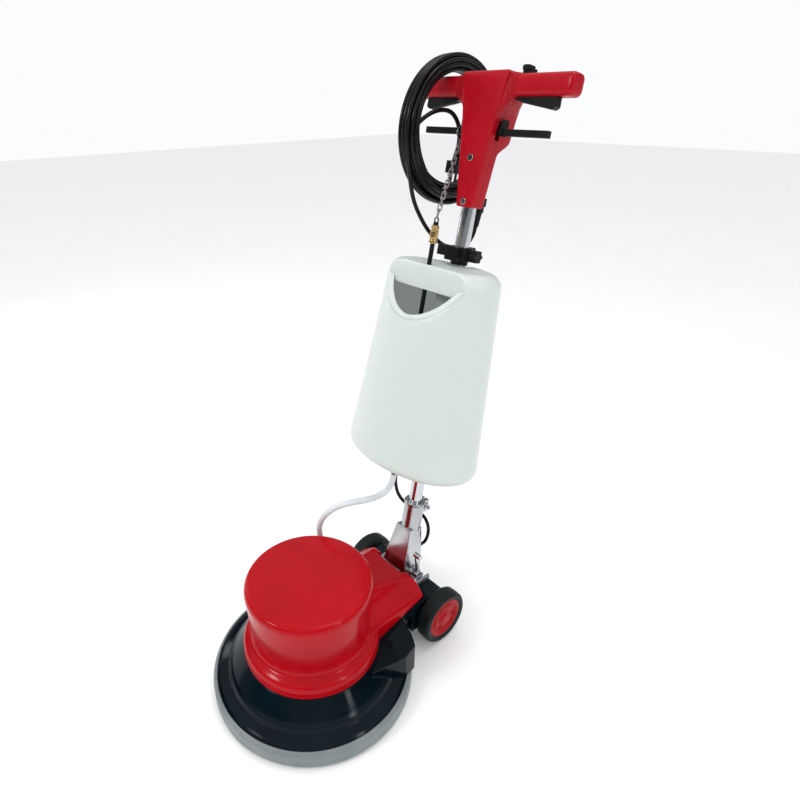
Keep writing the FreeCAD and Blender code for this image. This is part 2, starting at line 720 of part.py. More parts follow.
tube_length = dim.tube_tip - dim.tube_foot
tube = ring_of("tube", dim.tube_radius, dim.tube_radius - dim.tube_wall, tube_length, (0, 0, dim.tube_foot))
TUBE_EXIT = 282
exit_hole = cylinder("tube_exit_hole", 5.5, 30, (-30, 0, TUBE_EXIT), "x")
node("handle_tube", cut("tube_body", tube, exit_hole), leaning=True)

# The tilt lock's lever turns on the pin's right end.
LEVER_ANGLE = -16
lever_hub = cylinder("lock_hub", 12, 9, (45, 0, 0), "x")
lever_arm = box("lock_arm", (46, -5, 6), (50, 5, 66))
lever_knob = cylinder("lock_knob", 6, 18, (42, 0, 64), "x")
lever_swing = fuse("lock_swing", lever_hub, lever_arm, lever_knob)
lever_swing.Placement = Placement(Vector(), Rotation(Vector(1, 0, 0), -LEVER_ANGLE))
node("tilt_lever", lever_swing, leaning=True)

# ---------------------------------------------------------------- solution tank, clamp and valve

MOUTH_SLOPE = math.radians(60.4)
MOUTH_EDGE = (-137, 613)
MOUTH_BACK = -93
MOUTH_CHORD = 675
PANEL = 5


def tank_loft(name, inset):
    """The tank's tapered oval form, or its hollow when inset."""
    rings = []
    for level, height, wide, deep, ahead in (
        ("low", dim.tank_foot + inset, dim.tank_wide_low, dim.tank_deep_low, dim.tank_ahead_low),
        ("top", dim.tank_head - inset, dim.tank_wide_top, dim.tank_deep_top, dim.tank_ahead_top),
    ):
        oval = doc.addObject("Part::Ellipse", f"{name}_{level}")
        bind(oval, "MajorRadius", wide - inset)
        bind(oval, "MinorRadius", deep - inset)
        place(oval, (0, -ahead, height))
        rings.append(oval)
    loft = doc.addObject("Part::Loft", name)
    loft.Sections = rings
    loft.Solid = True
    return loft


def above_mouth(name):
    """Everything above the mouth's slanted plane, in front of the top panel."""
    v, w = MOUTH_EDGE
    run = 80
    rise = run * math.tan(MOUTH_SLOPE)
    return plate(name, "yz", [
        (v - run, w - rise), (MOUTH_BACK, w + (MOUTH_BACK - v) * math.tan(MOUTH_SLOPE)), (MOUTH_BACK, 800),
        (v - run, 800),
    ], 400, -200)


tank_form = tank_loft("tank_form", 0)
channel_half = dim.tube_radius + 3
groove = box("tank_groove", (-channel_half, -channel_half, 250), (channel_half, 120, 800))
tank_outer = cut("tank_outer", tank_form, fuse("tank_removed", groove, above_mouth("mouth_cut")))
tank_ends = (dim.tank_foot.value, dim.tank_head.value)
tank_round = rounded("tank_round", tank_outer, 14, lambda edge: (
    edge.BoundBox.ZLength < 0.5 and edge.Length > 150
    and any(abs(edge.BoundBox.ZMax - end) < 1 for end in tank_ends)))
wall = dim.tank_wall
cavity = tank_loft("tank_cavity", 6)
groove_wall = box("groove_wall", (-channel_half - wall, -channel_half - wall, 250),
                  (channel_half + wall, 120, 800))
panel = box("top_panel", (-200, MOUTH_BACK, MOUTH_CHORD), (200, MOUTH_BACK + PANEL, 800))
rod_x = -dim.rod_side
rod_v = -dim.rod_ahead
hollow = cut("tank_hollow", cavity, fuse("tank_kept", groove_wall, panel))
rod_entry = cylinder("rod_entry", dim.rod_radius + 2.5, 60, (rod_x, rod_v, 700))
outlet_hole = cylinder("outlet_hole", 9, 30, (rod_x, rod_v, 290))
node("solution_tank", cut("tank_body", tank_round, fuse("tank_void", hollow, rod_entry, outlet_hole)),
     leaning=True)

OUTLET_TIP = 262
node("tank_outlet", cut(
    "outlet_body",
    fuse(
        "outlet_blank",
        cylinder("outlet_stem", 9, 26, (rod_x, rod_v, 292)),
        cylinder("outlet_nut", 16, 9, (rod_x, rod_v, 295)),
        cylinder("outlet_inner_nut", 15, 6, (rod_x, rod_v, 310)),
        cylinder("outlet_barb", 5, 292 - OUTLET_TIP, (rod_x, rod_v, OUTLET_TIP)),
    ),
    cone("outlet_seat", 3, 7, 10, (rod_x, rod_v, 309)),
), leaning=True)

node("valve_rod", fuse(
    "valve_rod_body",
    cylinder("rod", dim.rod_radius, 446, (rod_x, rod_v, 320)),
    cone("rod_plug", 3.4, 7.2, 7, (rod_x, rod_v, 313.5)),
    cylinder("rod_ferrule", 7, 26, (rod_x, rod_v, 766)),
    cylinder("rod_neck", 5, 10, (rod_x, rod_v, 792)),
    torus("rod_eye", 5, 1.3, (rod_x, rod_v, 806), "x"),
), leaning=True)

CHAIN_TOP = Vector(-52, 0, 956)
CHAIN_FOOT = Vector(rod_x.value, rod_v.value, 813)
LINK_WIRE = 1.2
LINK_WIDTH = 3.6
LINK_COUNT = 13


def chain_link(centre, along, side, length):
    """One closed oval link of round wire."""
    along = Vector(along).normalize()
    side = Vector(side).normalize()
    half = length / 2 - LINK_WIDTH
    ends = [centre + along * half, centre - along * half]
    corners = [
        ends[0] + side * LINK_WIDTH, ends[0] + along * LINK_WIDTH, ends[0] - side * LINK_WIDTH,
        ends[1] - side * LINK_WIDTH, ends[1] - along * LINK_WIDTH, ends[1] + side * LINK_WIDTH,
    ]
    path = Part.Wire([
        Part.Arc(corners[0], corners[1], corners[2]).toShape(),
        Part.LineSegment(corners[2], corners[3]).toShape(),
        Part.Arc(corners[3], corners[4], corners[5]).toShape(),
        Part.LineSegment(corners[5], corners[0]).toShape(),
    ])
    section = Part.Wire(Part.Circle((corners[3] + corners[2]) / 2, along, LINK_WIRE).toShape())
    start = Part.LineSegment((corners[2] + corners[3]) / 2, corners[3]).toShape()
    finish = Part.LineSegment(corners[2], (corners[2] + corners[3]) / 2).toShape()
    loop = Part.Wire([start, path.Edges[2], path.Edges[3], path.Edges[0], finish])
    return loop.makePipeShell([section], True, False)


def chain():
    """Links turned a quarter from one to the next, along a straight line."""
    run = CHAIN_TOP - CHAIN_FOOT
    pitch = run.Length / LINK_COUNT
    along = Vector(run).normalize()
    side = along.cross(Vector(0, 0, 1)).normalize()
    other = along.cross(side)
    links = []
    for number in range(LINK_COUNT):
        centre = CHAIN_FOOT + along * pitch * (number + 0.5)
        links.append(chain_link(centre, along, side if number % 2 else other, pitch + 4 * LINK_WIRE))
    return links


links = chain()
hook_ring = Part.makeTorus(12.5, LINK_WIRE, Vector(-52, 0, 971), Vector(1, 0, 0))
node("lever_chain", shaped("chain_links", Part.makeCompound(links + [hook_ring])), leaning=True)

CLAMP_LOW = 732
CLAMP_HIGH = 759
clamp_mid = (CLAMP_LOW + CLAMP_HIGH) / 2
node("tank_clamp", cut(
    "clamp_body",
    fuse(
        "clamp_blank",
        cylinder("clamp_ring", 23, CLAMP_HIGH - CLAMP_LOW, (0, 0, CLAMP_LOW)),
        box("clamp_left_lug", (-54, -10, CLAMP_LOW + 4), (-16, 10, CLAMP_HIGH - 2)),
        box("clamp_front_block", (-16, -30, CLAMP_LOW), (16, 0, CLAMP_HIGH)),
        box("clamp_right_lug", (14, -9, CLAMP_LOW + 4), (30, 9, CLAMP_HIGH - 4)),
        box("clamp_cable_saddle", (-12, 15, CLAMP_LOW), (12, 30, CLAMP_HIGH)),
        ring_of("clamp_foot", 17.5, dim.tube_radius, 8, (0, 0, CLAMP_LOW - 8)),
    ),
    fuse(
        "clamp_holes",
        cylinder("clamp_bore", dim.tube_radius, 100, (0, 0, 700)),
        cylinder("clamp_knob_hole", 4.05, 40, (15, 0, clamp_mid), "x"),
    ),
), leaning=True)
KNOB_WINGS = 6
KNOB_LENGTH = 14
knob_core = cylinder("knob_core", 10, KNOB_LENGTH, (31, 0, clamp_mid), "x")
knob_stem = cylinder("knob_stem", 4, 15, (16.5, 0, clamp_mid), "x")
knob_wings = []
for wing in range(KNOB_WINGS):
    angle = wing * 2 * math.pi / KNOB_WINGS
    knob_wings.append(cylinder(f"knob_wing_{wing}", 3.4, KNOB_LENGTH, (
        31, 9.6 * math.cos(angle), clamp_mid + 9.6 * math.sin(angle)), "x"))
node("clamp_knob", fuse("knob_body", knob_core, knob_stem, *knob_wings), leaning=True)

node("cable_clip", cut(
    "clip_body",
    fuse(
        "clip_blank",
        cylinder("clip_ring", 18, 22, (0, 0, TUBE_EXIT - 11)),
        cylinder("clip_spout", 9, 10, (-26, 0, TUBE_EXIT), "x"),
    ),
    fuse(
        "clip_holes",
        cylinder("clip_bore", dim.tube_radius, 60, (0, 0, TUBE_EXIT - 30)),
        cylinder("clip_cable_hole", dim.motor_cable_diameter / 2, 20, (-30, 0, TUBE_EXIT), "x"),
    ),
), leaning=True)

# ---------------------------------------------------------------- handle head

foot = dim.head_foot
crown = dim.head_top
low_half = dim.head_half_low
top_half = dim.head_half_top
FRONT_LOW = -20
FRONT_TOP = -26
HUMP_BACK = 45
HUMP_FOOT = 936


def head_solid(name, inset):
    """The T-shaped head, or its hollow when inset by the wall."""
    front_view = plate(f"{name}_front_view", "xz", [
        (-low_half + inset, foot - inset), (low_half - inset, foot - inset),
        (top_half - 9 - inset, 1004), (top_half + 2 - inset, 1020), (top_half + 16, 1030 + inset),
        (top_half + 16, 1064 - inset), (top_half - inset, crown - inset), (-top_half + inset, crown - inset),
        (-top_half - 16, 1064 - inset), (-top_half - 16, 1030 + inset), (-top_half - 2 + inset, 1020),
        (-top_half + 9 + inset, 1004),
    ], 200, -100)
    side_view = plate(f"{name}_side_view", "yz", [
        (FRONT_LOW + inset, foot - 2 * inset), (20 - inset, foot - 2 * inset),
        (17 - inset, HUMP_FOOT + inset),
        (HUMP_BACK - inset, HUMP_FOOT + 22 + inset), (HUMP_BACK - inset, crown - 6 - inset),
        (HUMP_BACK - 8 - inset, crown - inset), (FRONT_TOP + inset, crown - inset),
    ], 400, -200)
    column = common(f"{name}_column", front_view, side_view)
    half_span = dim.grip_half_span - inset
    half_depth = dim.grip_depth / 2 - inset
    bar = box(f"{name}_bar", (-half_span, -half_depth, dim.grip_low + inset),
              (half_span, half_depth, dim.grip_high - inset))
    grips = rounded(f"{name}_grips", bar, 12 - inset, lambda edge: (
        abs(edge.Curve.Direction.x) > 0.9))
    return fuse(name, column, grips)


TRIGGER_INNER = 58
TRIGGER_OUTER = 147
TRIGGER_PIN = 2.5
TRIGGER_PIVOT = TRIGGER_INNER + 4
TRIGGER_LEVEL = 1037
SLOT_HALF = 8.6
head_outer = head_solid("head_outer", 0)
head_inner = head_solid("head_inner", dim.head_wall.value)
head_holes = [cylinder("head_tube_hole", dim.tube_radius, 200, (0, 0, dim.tube_tip - 190))]
for sign in (-1, 1):
    low, high = sorted((sign * (TRIGGER_INNER - 2), sign * (TRIGGER_OUTER + 2)))
    head_holes.append(box(f"trigger_slot_{sign}", (low, -SLOT_HALF, 1000), (high, SLOT_HALF, 1040)))
    low, high = sorted((sign * 15, sign * 60))
    head_holes.append(box(f"lever_slot_{sign}", (low, -6.6, 960), (high, 6.6, 993)))
GLAND_SPOT = (0, 31)
head_holes.append(box("button_slot", (60, 1.5, 1060), (84, 14.5, 1090)))
SCREW_LEVELS = (846, 926)
for level in SCREW_LEVELS:
    head_holes.append(cylinder(f"screw_hole_{level}", 2.6, 28, (0, -40, level), "y"))
head_shell = cut("head_shell", head_outer, fuse("head_void", head_inner, *head_holes))
front_half = box("front_half", (-200, -100, 800), (200, 0, 1100))
rear_half = box("rear_half", (-200, 0, 800), (200, 100, 1100))
trigger_pins = [
    cylinder(f"trigger_pin_{sign}", TRIGGER_PIN, 2 * SLOT_HALF + 4,
             (sign * TRIGGER_PIVOT, -SLOT_HALF - 2, TRIGGER_LEVEL), "y")
    for sign in (-1, 1)
]
node("handle_front", common("head_front", head_shell, front_half), leaning=True)
node("handle_rear", fuse("head_rear_and_pins", common("head_rear", head_shell, rear_half), *trigger_pins),
     leaning=True)

screws = []
for level in SCREW_LEVELS:
    head_foot = dim.head_foot.value
    face = FRONT_LOW + (FRONT_TOP - FRONT_LOW) * (level - head_foot) / (dim.head_top.value - head_foot)
    head = cylinder(f"screw_head_{level}", 6, 2.4, (0, face - 2.6, level), "y")
    shank = cylinder(f"screw_shank_{level}", 2.5, 6, (0, face - 1, level), "y")
    screws.append(fuse(f"screw_{level}", head, shank))
node("housing_screws", fuse("housing_screw_pair", *screws), leaning=True)

node("switch_block", fuse(
    "switch_body",
    box("switch_case", (-30, -15, 1018), (30, 30, 1058)),
    box("switch_arm_left", (-40, -5, 1040), (-30, 5, 1046)),
    box("switch_arm_right", (30, -5, 1040), (40, 5, 1046)),
), leaning=True)


def trigger(side, sign):
    """A trigger that turns on its inner pin, ribbed underneath and deepest at the outer end."""
    inner = sign * TRIGGER_INNER
    body = plate(f"trigger_blade_{side}", "xz", [
        (inner, 1030), (sign * (TRIGGER_INNER + 12), 1027), (sign * (TRIGGER_OUTER - 4), 1014),
        (sign * TRIGGER_OUTER, 1018), (sign * (TRIGGER_OUTER - 1), TRIGGER_LEVEL),
        (sign * (TRIGGER_INNER + 14), TRIGGER_LEVEL), (sign * (TRIGGER_INNER + 9), 1043), (inner, 1043),
    ][::sign], 16, -8)
    hole = cylinder(f"trigger_bore_{side}", TRIGGER_PIN + 0.06, 40,
                    (sign * TRIGGER_PIVOT, -20, TRIGGER_LEVEL), "y")
    node(f"trigger_{side}", cut(f"trigger_{side}_body", body, hole), leaning=True)


trigger("left", -1)
trigger("right", 1)

SPRING_SPAN, SPRING_LEVEL, SPRING_PITCH, SPRING_TURNS = 104, 1045, 2.2, 5
springs = [
    torus(f"spring_{sign}_{turn}", 4.2, 0.7, (sign * SPRING_SPAN, 0, SPRING_LEVEL + SPRING_PITCH * turn))
    for sign in (-1, 1)
    for turn in range(SPRING_TURNS)
]
node("trigger_springs", fuse("spring_coils", *springs), leaning=True)

node("lock_button", fuse(
    "button_body",
    box("button_stem", (61, 2.5, 1058), (83, 13.5, 1076)),
    rounded("button_cap", box("button_block", (60.5, 0, 1078), (76, 16, 1087)), 3, lambda edge: (
        abs(edge.Curve.Direction.y) > 0.9)),
    box("button_shoe", (61, 2.5, 1074), (83, 13.5, 1080)),
), leaning=True)

lever_low = dim.lever_height - 6
lever_bar_high = dim.lever_height + 6
lever_pieces = [ring_of("lever_ring", 19, dim.tube_radius + 0.6, 12, (0, 0, lever_low))]
for sign in (-1, 1):
    low, high = sorted((as_size(sign * 17.5), sign * dim.lever_half_span), key=lambda size: size.value)
    lever_pieces.append(box(f"lever_bar_{sign}", (low, -5.5, lever_low), (high, 5.5, lever_bar_high)))
    low, high = sorted((sign * 45, sign * 48.5))
    lever_pieces.append(box(f"lever_flange_{sign}", (low, -9, lever_low - 1), (high, 9, lever_low + 28)))
lever_blank = fuse("lever_blank", *lever_pieces)
node("water_lever", cut("lever_body", lever_blank, cylinder(
    "lever_clearance", dim.tube_radius + 0.6, 60, (0, 0, lever_low - 20))), leaning=True)

# ---------------------------------------------------------------- cables and hose


def rounded_route(points, label):
    """Straight runs joined by tangent arcs; prints the arc radii."""
    legs = [b - a for a, b in zip(points, points[1:])]
    edges = []
    last = points[0]
    radii = []
    for before, after, corner in zip(legs, legs[1:], points[1:]):
        half_turn = before.getAngle(after) / 2
        setback = 0.45 * min(before.Length, after.Length)
        radii.append(setback / math.tan(half_turn))
        arc_start = corner - Vector(before).normalize() * setback
        arc_end = corner + Vector(after).normalize() * setback
        bisector = (Vector(after).normalize() - Vector(before).normalize()).normalize()
        centre = corner + bisector * (radii[-1] / math.cos(half_turn))
        middle = centre - bisector * radii[-1]
        edges.append(Part.LineSegment(last, arc_start).toShape())
        edges.append(Part.Arc(arc_start, middle, arc_end).toShape())
        last = arc_end
    edges.append(Part.LineSegment(last, points[-1]).toShape())
    print(label, "arc radii", [round(r) for r in radii])
    return Part.Wire(edges)


def cable(name, points, diameter):
    """A round cable along a route given in machine coordinates."""
    path = rounded_route(points, name)
    start = points[0]
    section = Part.Wire(Part.Circle(start, points[1] - start, diameter.value / 2).toShape())
    solid = path.makePipeShell([section], True, False)
    expected = path.Length * math.pi * (diameter.value / 2) ** 2
    print(name, "length", round(path.Length), "volume ratio", round(solid.Volume / expected, 3))
    return node(name, shaped(f"{name}_solid", solid))


hose_start = on_mast(rod_x.value, rod_v.value, OUTLET_TIP)
HOSE_ROUTE = [
    hose_start, on_mast(rod_x.value, rod_v.value, OUTLET_TIP - 28),
    Vector(-18, 218, 354), Vector(-34, 189, 346), Vector(-54, 156, 345),
    Vector(-74, 127, 334), Vector(-92, 110, 308), Vector(-108, 108, 273), Vector(-118, 116, 236),
    Vector(-122, 125, 200), Vector(*FITTING_SPOT, 167), Vector(*FITTING_SPOT, FITTING_TOP),
]
cable("solution_hose", HOSE_ROUTE, dim.hose_diameter)

MOTOR_CABLE_ROUTE = [on_mast(*point) for point in (
    (-19, 0, 282), (-40, 0, 282), (-56, -3, 267), (-62, -8, 243), (-62, -11, 216), (-59, -9, 190),
    (-53, -2, 166), (-41, 10, 147), (-24, 25, 136), (-4, 37, 128), (16, 37, 119), (31, 31, 106),
    (35, 26, 88), (29, 27, 71), (17, 33, 56), (5, 40, 41), (0, 41, 22),
)] + [Vector(0, 310, 118), Vector(0, 295, 104), Vector(0, 272, 101), Vector(0, 250, 104)]
cable("motor_cable", MOTOR_CABLE_ROUTE, dim.motor_cable_diameter)

gland_x, gland_v = GLAND_SPOT
GLAND_LOW = 800
node("cord_gland", cut(
    "gland_body",
    fuse(
        "gland_blank",
        box("gland_bracket", (-9, 20, 840), (9, 40, 856)),
        cylinder("gland_nut", 10, 14, (gland_x, gland_v, 828)),
        cone("gland_taper", 5.6, 8, 28, (gland_x, gland_v, GLAND_LOW)),
    ),
    cylinder("gland_bore", dim.mains_diameter / 2, 44, (gland_x, gland_v, GLAND_LOW - 2)),
), leaning=True)

COIL_V = 27
COIL_W = 975
LEAD_ROUTE = [on_mast(*point) for point in (
    (0, 31, 832), (0, 31, 810), (-2, 33, 786), (-15, 35, 762), (-39, 34, 749), (-66, 29, 749),
    (-88, 17, 761), (-99, -2, 780), (-101, -24, 801), (-101, -46, 824), (-100, -64, 850),
)]
cable("cord_lead", LEAD_ROUTE, dim.mains_diameter)
TAIL_ROUTE = [on_mast(*point) for point in (
    (-94, -96, 958), (-90, -80, 980), (-86, -58, 998), (-83, -32, 1008), (-81, -5, 1008), (-80, 17, 993),
    (-79, 29, 970), (-79, 30, 944),
)]
cable("cord_tail", TAIL_ROUTE, dim.mains_diameter)
coil = torus("coil_ring", dim.coil_radius, dim.coil_bundle, (-dim.coil_side, COIL_V, COIL_W), "x")
for axis in "xyz":
    coil.setExpression(f"Placement.Base.{axis}", None)
node("cord_coil", coil, leaning=True)

node("mains_plug", fuse(
    "plug_body",
    cone("plug_tail", 9, 5.6, 26, (-79, 30, 918)),
    box("plug_block", (-92, 17, 896), (-66, 43, 920)),
    box("plug_pin_1", (-86, 27, 878), (-84, 33, 896)),
    box("plug_pin_2", (-74, 27, 878), (-72, 33, 896)),
), leaning=True)

# ---------------------------------------------------------------- checks and export

doc.recompute()
problems = []
for thing in doc.Objects:
    if "Invalid" in thing.State or "Error" in thing.State:
        problems.append(f"{thing.Label}: {thing.State}")
for name, piece in NODES.items():
    if piece.Shape.isNull() or not piece.Shape.isValid():
        problems.append(f"{name}: bad shape")
if problems:
    raise SystemExit("\n".join(problems))
os.makedirs("parts", exist_ok=True)
for name, piece in NODES.items():
    piece.Shape.exportStep(f"parts/{name}.step")
print(len(NODES), "sub-parts written")
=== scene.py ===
import math
import random

import bmesh
import bpy
from mathutils import Matrix, Vector


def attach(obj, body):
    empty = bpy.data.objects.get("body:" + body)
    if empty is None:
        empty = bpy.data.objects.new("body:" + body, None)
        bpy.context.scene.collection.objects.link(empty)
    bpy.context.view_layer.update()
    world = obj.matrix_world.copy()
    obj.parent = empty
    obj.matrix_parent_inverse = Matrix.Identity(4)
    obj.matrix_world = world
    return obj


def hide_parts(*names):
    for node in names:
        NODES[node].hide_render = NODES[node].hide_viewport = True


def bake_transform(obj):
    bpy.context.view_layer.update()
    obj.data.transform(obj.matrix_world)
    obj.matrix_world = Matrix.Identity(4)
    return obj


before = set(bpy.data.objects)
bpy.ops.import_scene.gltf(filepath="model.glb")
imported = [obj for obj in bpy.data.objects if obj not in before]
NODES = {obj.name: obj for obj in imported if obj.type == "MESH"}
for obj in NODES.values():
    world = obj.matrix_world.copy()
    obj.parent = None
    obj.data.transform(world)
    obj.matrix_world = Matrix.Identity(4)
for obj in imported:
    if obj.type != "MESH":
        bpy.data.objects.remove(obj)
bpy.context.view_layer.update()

MM = 0.001

# ---------------------------------------------------------------- the mast's own axes
# The handle leans back from the hinge: x to the right, v to the back and w along the tube.

TILT = math.radians(10.8)
HINGE = Vector((0, 0.274, 0.131))
UP = Vector((0, math.sin(TILT), math.cos(TILT)))
BACK = Vector((0, math.cos(TILT), -math.sin(TILT)))
MAST = Matrix((
    (1, BACK.x, UP.x, HINGE.x),
    (0, BACK.y, UP.y, HINGE.y),
    (0, BACK.z, UP.z, HINGE.z),
    (0, 0, 0, 1),
))


def on_mast(x, v, w):
    """A point on the mast, given in millimetres along its own axes."""
    return MAST @ Vector((x * MM, v * MM, w * MM))


# ---------------------------------------------------------------- camera, floor and lights

scene = bpy.context.scene
AZIMUTH = 0.872
ELEVATION = 0.442
ROLL = -0.015
CAMERA_PLACE = (0.741, -0.486, 1.153)
camera_data = bpy.data.cameras.new("camera")
camera_data.lens = 25.97
camera_data.shift_x = 0.054
camera_data.shift_y = -0.039
camera_data.clip_end = 50
camera = bpy.data.objects.new("camera", camera_data)
scene.collection.objects.link(camera)
towards_camera = Vector((
    math.sin(AZIMUTH) * math.cos(ELEVATION), -math.cos(AZIMUTH) * math.cos(ELEVATION), math.sin(ELEVATION)))
look = towards_camera.to_track_quat("Z", "Y").to_matrix().to_4x4()
camera.matrix_world = Matrix.Translation(CAMERA_PLACE) @ look @ Matrix.Rotation(ROLL, 4, "Z")
scene.camera = camera


def link(name, mesh):
    piece = bpy.data.objects.new(name, mesh)
    scene.collection.objects.link(piece)
    return piece


def area_light(name, place, target, size, power, colour=(1, 1, 1)):
    """A rectangular soft box that faces a point."""
    lamp = bpy.data.lights.new(name, "AREA")
    lamp.shape = "RECTANGLE"
    lamp.size, lamp.size_y = size
    lamp.energy = power
    lamp.color = colour
    holder = bpy.data.objects.new(name, lamp)
    scene.collection.objects.link(holder)
    away = Vector(place) - Vector(target)
    holder.matrix_world = Matrix.Translation(place) @ away.to_track_quat("Z", "Y").to_matrix().to_4x4()


area_light("key_light", (-0.6, -2.6, 2.6), (0, 0.1, 0.5), (0.7, 0.7), 30)
area_light("side_light", (2.8, 0.4, 1.9), (0, 0.1, 0.5), (0.35, 1.6), 14)
area_light("left_light", (-2.6, -0.4, 1.6), (0, 0.1, 0.4), (0.4, 1.6), 8)
area_light("top_light", (0.2, 0.6, 3.4), (0, 0.1, 0.2), (1.0, 1.0), 14)
world = bpy.data.worlds.new("studio")
world.use_nodes = True
scene.world = world
scene.view_settings.view_transform = "Standard"


def studio_sky():
    """A white backdrop for the camera; what the machine mirrors runs from dark to bright with height."""
    tree = world.node_tree
    plain = tree.nodes["Background"]
    plain.inputs["Color"].default_value = (0.97, 0.975, 0.985, 1)
    plain.inputs["Strength"].default_value = 1.0
    place = tree.nodes.new("ShaderNodeTexCoord")
    split = tree.nodes.new("ShaderNodeSeparateXYZ")
    tree.links.new(place.outputs["Generated"], split.inputs["Vector"])
    ramp = tree.nodes.new("ShaderNodeValToRGB")
    ramp.color_ramp.elements[0].position = 0.0
    ramp.color_ramp.elements[0].color = (0.30, 0.31, 0.32, 1)
    ramp.color_ramp.elements[1].position = 1.0
    ramp.color_ramp.elements[1].color = (0.75, 0.77, 0.80, 1)
    for position, level in ((0.10, 0.30), (0.14, 0.045), (0.34, 0.03), (0.42, 0.55), (0.60, 0.85)):
        stop = ramp.color_ramp.elements.new(position)
        stop.color = (level, level * 1.02, level * 1.05, 1)
    tree.links.new(split.outputs["Z"], ramp.inputs["Fac"])
    mirrored = tree.nodes.new("ShaderNodeBackground")
    tree.links.new(ramp.outputs["Color"], mirrored.inputs["Color"])
    rays = tree.nodes.new("ShaderNodeLightPath")
    mix = tree.nodes.new("ShaderNodeMixShader")
    tree.links.new(rays.outputs["Is Glossy Ray"], mix.inputs["Fac"])
    tree.links.new(plain.outputs["Background"], mix.inputs[1])
    tree.links.new(mirrored.outputs["Background"], mix.inputs[2])
    tree.links.new(mix.outputs["Shader"], tree.nodes["World Output"].inputs["Surface"])


studio_sky()

# ---------------------------------------------------------------- materials


SCATTER_DEPTH = 0.025  # how far light travels inside a translucent plastic, in metres
SPECK = (0.55, 0.55, 0.52, 1)


def surface(name, colour, deep, roughness, metallic=0.0, coat=0.0, rounding=1.5, grain=900.0, depth=0.03,
            patches=9.0, stretch=(1, 1, 1), rough_spread=0.08, sheen=0.0, specks=0.0, shine=0.5, scatter=0.0):
    """A procedural finish: two tones in soft patches, uneven roughness, fine grain and eased edges.

    Patches and grain are how many fit in a metre, and rounding is the eased edge's radius in millimetres.
    """
    made = bpy.data.materials.new(name)
    made.use_nodes = True
    tree = made.node_tree
    shader = tree.nodes["Principled BSDF"]
    shader.inputs["Metallic"].default_value = metallic
    shader.inputs["Coat Weight"].default_value = coat
    shader.inputs["Coat Roughness"].default_value = 0.06
    shader.inputs["Subsurface Weight"].default_value = scatter
    shader.inputs["Subsurface Radius"].default_value = (1, 1, 1)
    shader.inputs["Subsurface Scale"].default_value = SCATTER_DEPTH
    shader.inputs["Sheen Weight"].default_value = sheen
    shader.inputs["Specular IOR Level"].default_value = shine

    def add(kind, **settings):
        made_node = tree.nodes.new(kind)
        for key, value in settings.items():
            setattr(made_node, key, value)
        return made_node

    def noise(scale, detail, roughness_value=0.55):
        texture = add("ShaderNodeTexNoise")
        texture.inputs["Scale"].default_value = scale
        texture.inputs["Detail"].default_value = detail
        texture.inputs["Roughness"].default_value = roughness_value
        tree.links.new(mapping.outputs["Vector"], texture.inputs["Vector"])
        return texture

    place = add("ShaderNodeTexCoord")
    mapping = add("ShaderNodeMapping")
    mapping.inputs["Scale"].default_value = stretch
    tree.links.new(place.outputs["Object"], mapping.inputs["Vector"])

    tones = noise(patches, 6)
    blend = add("ShaderNodeMapRange")
    blend.inputs["From Min"].default_value = 0.32
    blend.inputs["From Max"].default_value = 0.68
    tree.links.new(tones.outputs["Fac"], blend.inputs["Value"])
    mix = add("ShaderNodeMix", data_type="RGBA")
    mix.inputs["A"].default_value = (*deep, 1)
    mix.inputs["B"].default_value = (*colour, 1)
    tree.links.new(blend.outputs["Result"], mix.inputs["Factor"])
    base = mix.outputs["Result"]
    if specks:
        dots = noise(grain * 0.45, 2, 0.4)
        spread = add("ShaderNodeMapRange")
        spread.inputs["From Min"].default_value = 0.60
        spread.inputs["From Max"].default_value = 0.72
        spread.inputs["To Max"].default_value = specks
        tree.links.new(dots.outputs["Fac"], spread.inputs["Value"])
        speckle = add("ShaderNodeMix", data_type="RGBA")
        speckle.inputs["B"].default_value = SPECK
        tree.links.new(spread.outputs["Result"], speckle.inputs["Factor"])
        tree.links.new(base, speckle.inputs["A"])
        base = speckle.outputs["Result"]
    tree.links.new(base, shader.inputs["Base Color"])

    wear = noise(patches * 3.3, 8, 0.65)
    polish = add("ShaderNodeMapRange")
    polish.inputs["From Min"].default_value = 0.3
    polish.inputs["From Max"].default_value = 0.7
    polish.inputs["To Min"].default_value = max(0.02, roughness - rough_spread)
    polish.inputs["To Max"].default_value = min(1.0, roughness + rough_spread)
    tree.links.new(wear.outputs["Fac"], polish.inputs["Value"])
    tree.links.new(polish.outputs["Result"], shader.inputs["Roughness"])

    fine = noise(grain, 3, 0.5)
    bump = add("ShaderNodeBump")
    bump.inputs["Strength"].default_value = depth
    bump.inputs["Distance"].default_value = 0.0006
    tree.links.new(fine.outputs["Fac"], bump.inputs["Height"])
    if rounding:
        eased = add("ShaderNodeBevel", samples=6)
        eased.inputs["Radius"].default_value = rounding * MM
        tree.links.new(eased.outputs["Normal"], bump.inputs["Normal"])
    tree.links.new(bump.outputs["Normal"], shader.inputs["Normal"])
    return made


